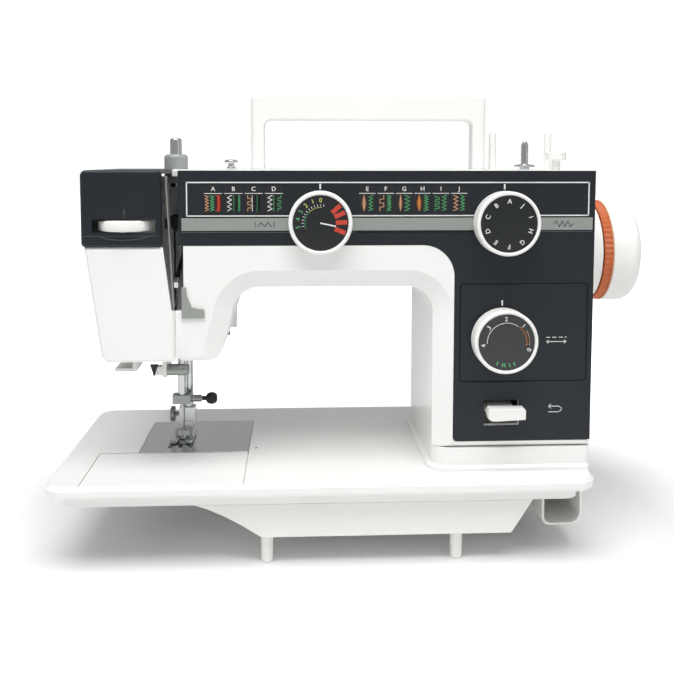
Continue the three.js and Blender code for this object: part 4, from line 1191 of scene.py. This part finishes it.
def printCapMarksAndPaintedLight():
    # the tick over the tension wheel, the cap's seam and the thumb hollow under the wheel; grey lines are
    # painted highlights, the hollow's dark arc is painted shade
    tickFoot, tickTop, seamDrop, seamEdge, seamGap, hollowWide, hollowTall, hollowDrop = (
        value * millimetre for value in capMarks.values()
    )
    capLow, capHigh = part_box("head_cap")
    y = capLow[1]
    x, _, z = middle("tension_dial")
    grey, dark = (inkMesh(ink, bodyOfNode["head_cap"]) for ink in ("grey", "black"))
    seam, left, right = z - seamDrop, capLow[0] + seamEdge, capHigh[0] - seamEdge
    inkLine(dark, [(x, z + tickFoot), (x, z + tickTop)], 0.9 * millimetre, y)
    # a grey painted highlight along the tick's right edge
    tickHighlightX = x + 0.7 * millimetre
    inkLine(grey, [(tickHighlightX, z + tickFoot), (tickHighlightX, z + tickTop)], 0.25 * millimetre, y)
    # a grey painted highlight under the seam
    below = seam - 0.3 * millimetre
    inkLine(grey, [(left, below), (right, below)], 0.2 * millimetre, y)
    inkLine(dark, [(left, seam), (x - seamGap, seam)], 0.35 * millimetre, y)
    inkLine(dark, [(x + seamGap, seam), (right, seam)], 0.35 * millimetre, y)
    # the thumb hollow is drawn flat: a dark arc of painted shade with a grey painted highlight below it
    hollow = [
        (x + hollowWide * math.sin(angle), z - hollowDrop - hollowTall * math.cos(angle))
        for angle in [math.radians(degrees) for degrees in range(-80, 81, 10)]
    ]
    inkLine(dark, hollow, 0.4 * millimetre, y)
    inkLine(grey, [(px, pz - 0.6 * millimetre) for px, pz in hollow], 0.3 * millimetre, y)


bandLine = {"drop": 1.2, "lightFrom": -2, "lightTo": 79.5}


def printBandLine():
    # the fine grey line under the band, with its lit stretch over the throat's right side
    low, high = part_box("trim_band")
    drop, start, end = (value * millimetre for value in bandLine.values())
    below = low[2] - drop
    inkLine(inkMesh("grey", panelBody), [(low[0], below), (high[0], below)], 0.35 * millimetre)
    inkLine(panelWhite, [(start, below), (end, below)], 0.3 * millimetre)


makeScrews()
printIcons()
printDialMarks()
printCapMarksAndPaintedLight()
printBandLine()
# the ink pieces carry the print together with the painted highlights and painted shade drawn in ink
for (ink, body), bm in printed.items():
    bmesh.ops.recalc_face_normals(bm, faces=bm.faces)
    finishPiece(f"printing_{ink}_{body}", bm, inks[ink], body)
print("printing made")


# studio
studio = {
    "ambient": 0.4,
    "backdrop": 1.05,
    "glow": 1.0,
    "glowFrom": 0.24,     # metres from the machine's middle
    "glowFull": 0.5,
    "floor": 6,           # half its width
}
# place, what it points at, width, height and power
lights = {
    "key": ((-0.9, -1.1, 1.3), (0, 0, 0.15), 1.0, 0.8, 1.2),
    "top": ((-0.1, -0.6, 1.6), (0, 0, 0.1), 1.5, 0.8, 25.0),
    "fill": ((1.3, -0.9, 0.7), (0, 0, 0.15), 0.9, 0.9, 0.8),
}


def makeFloor():
    mesh = bpy.data.meshes.new("floor")
    bm = bmesh.new()
    bmesh.ops.create_grid(bm, x_segments=1, y_segments=1, size=studio["floor"])
    bm.to_mesh(mesh)
    bm.free()
    paper = bpy.data.materials.new("white_paper")
    paper.use_nodes = True
    shader = paper.node_tree.nodes["Principled BSDF"]
    shader.inputs["Base Color"].default_value = colour("#F4F4F4")
    shader.inputs["Roughness"].default_value = 0.9
    # away from the machine the paper glows, so that its far edge meets the backdrop unseen
    tree = paper.node_tree
    coords = addNode(tree, "ShaderNodeTexCoord").outputs["Object"]
    away = addNode(tree, "ShaderNodeVectorMath", None, {0: coords}, operation="LENGTH")
    glow = addNode(
        tree,
        "ShaderNodeMapRange",
        {
            "From Min": studio["glowFrom"],
            "From Max": studio["glowFull"],
            "To Min": 0.0,
            "To Max": studio["glow"],
        },
        {"Value": away.outputs["Value"]},
    )
    seen = addNode(tree, "ShaderNodeLightPath").outputs["Is Camera Ray"]
    shown = addNode(tree, "ShaderNodeMath", None, {0: glow.outputs["Result"], 1: seen}, operation="MULTIPLY")
    shader.inputs["Emission Color"].default_value = (1, 1, 1, 1)
    tree.links.new(shown.outputs["Value"], shader.inputs["Emission Strength"])
    mesh.materials.append(paper)
    floor = bpy.data.objects.new("floor", mesh)
    bpy.context.scene.collection.objects.link(floor)


def addLight(name, place, target, width, height, power):
    data = bpy.data.lights.new(name, "AREA")
    data.shape = "RECTANGLE"
    data.size = width
    data.size_y = height
    data.energy = power
    light = bpy.data.objects.new(name, data)
    light.location = place
    light.rotation_euler = (Vector(target) - Vector(place)).to_track_quat("-Z", "Y").to_euler()
    bpy.context.scene.collection.objects.link(light)


def makeStudio():
    world = bpy.data.worlds.new("studio")
    world.use_nodes = True
    # the backdrop shows pure white, and lights the machine much more softly
    tree = world.node_tree
    backdrop = tree.nodes["Background"]
    backdrop.inputs["Color"].default_value = (1, 1, 1, 1)
    seen = addNode(tree, "ShaderNodeLightPath").outputs["Is Camera Ray"]
    strength = addNode(
        tree,
        "ShaderNodeMapRange",
        {"To Min": studio["ambient"], "To Max": studio["backdrop"]},
        {"Value": seen},
    )
    tree.links.new(strength.outputs["Result"], backdrop.inputs["Strength"])
    bpy.context.scene.world = world
    bpy.context.scene.view_settings.view_transform = "Standard"
    for name, settings in lights.items():
        addLight(name, *settings)


makeFloor()
makeStudio()
print("studio made")
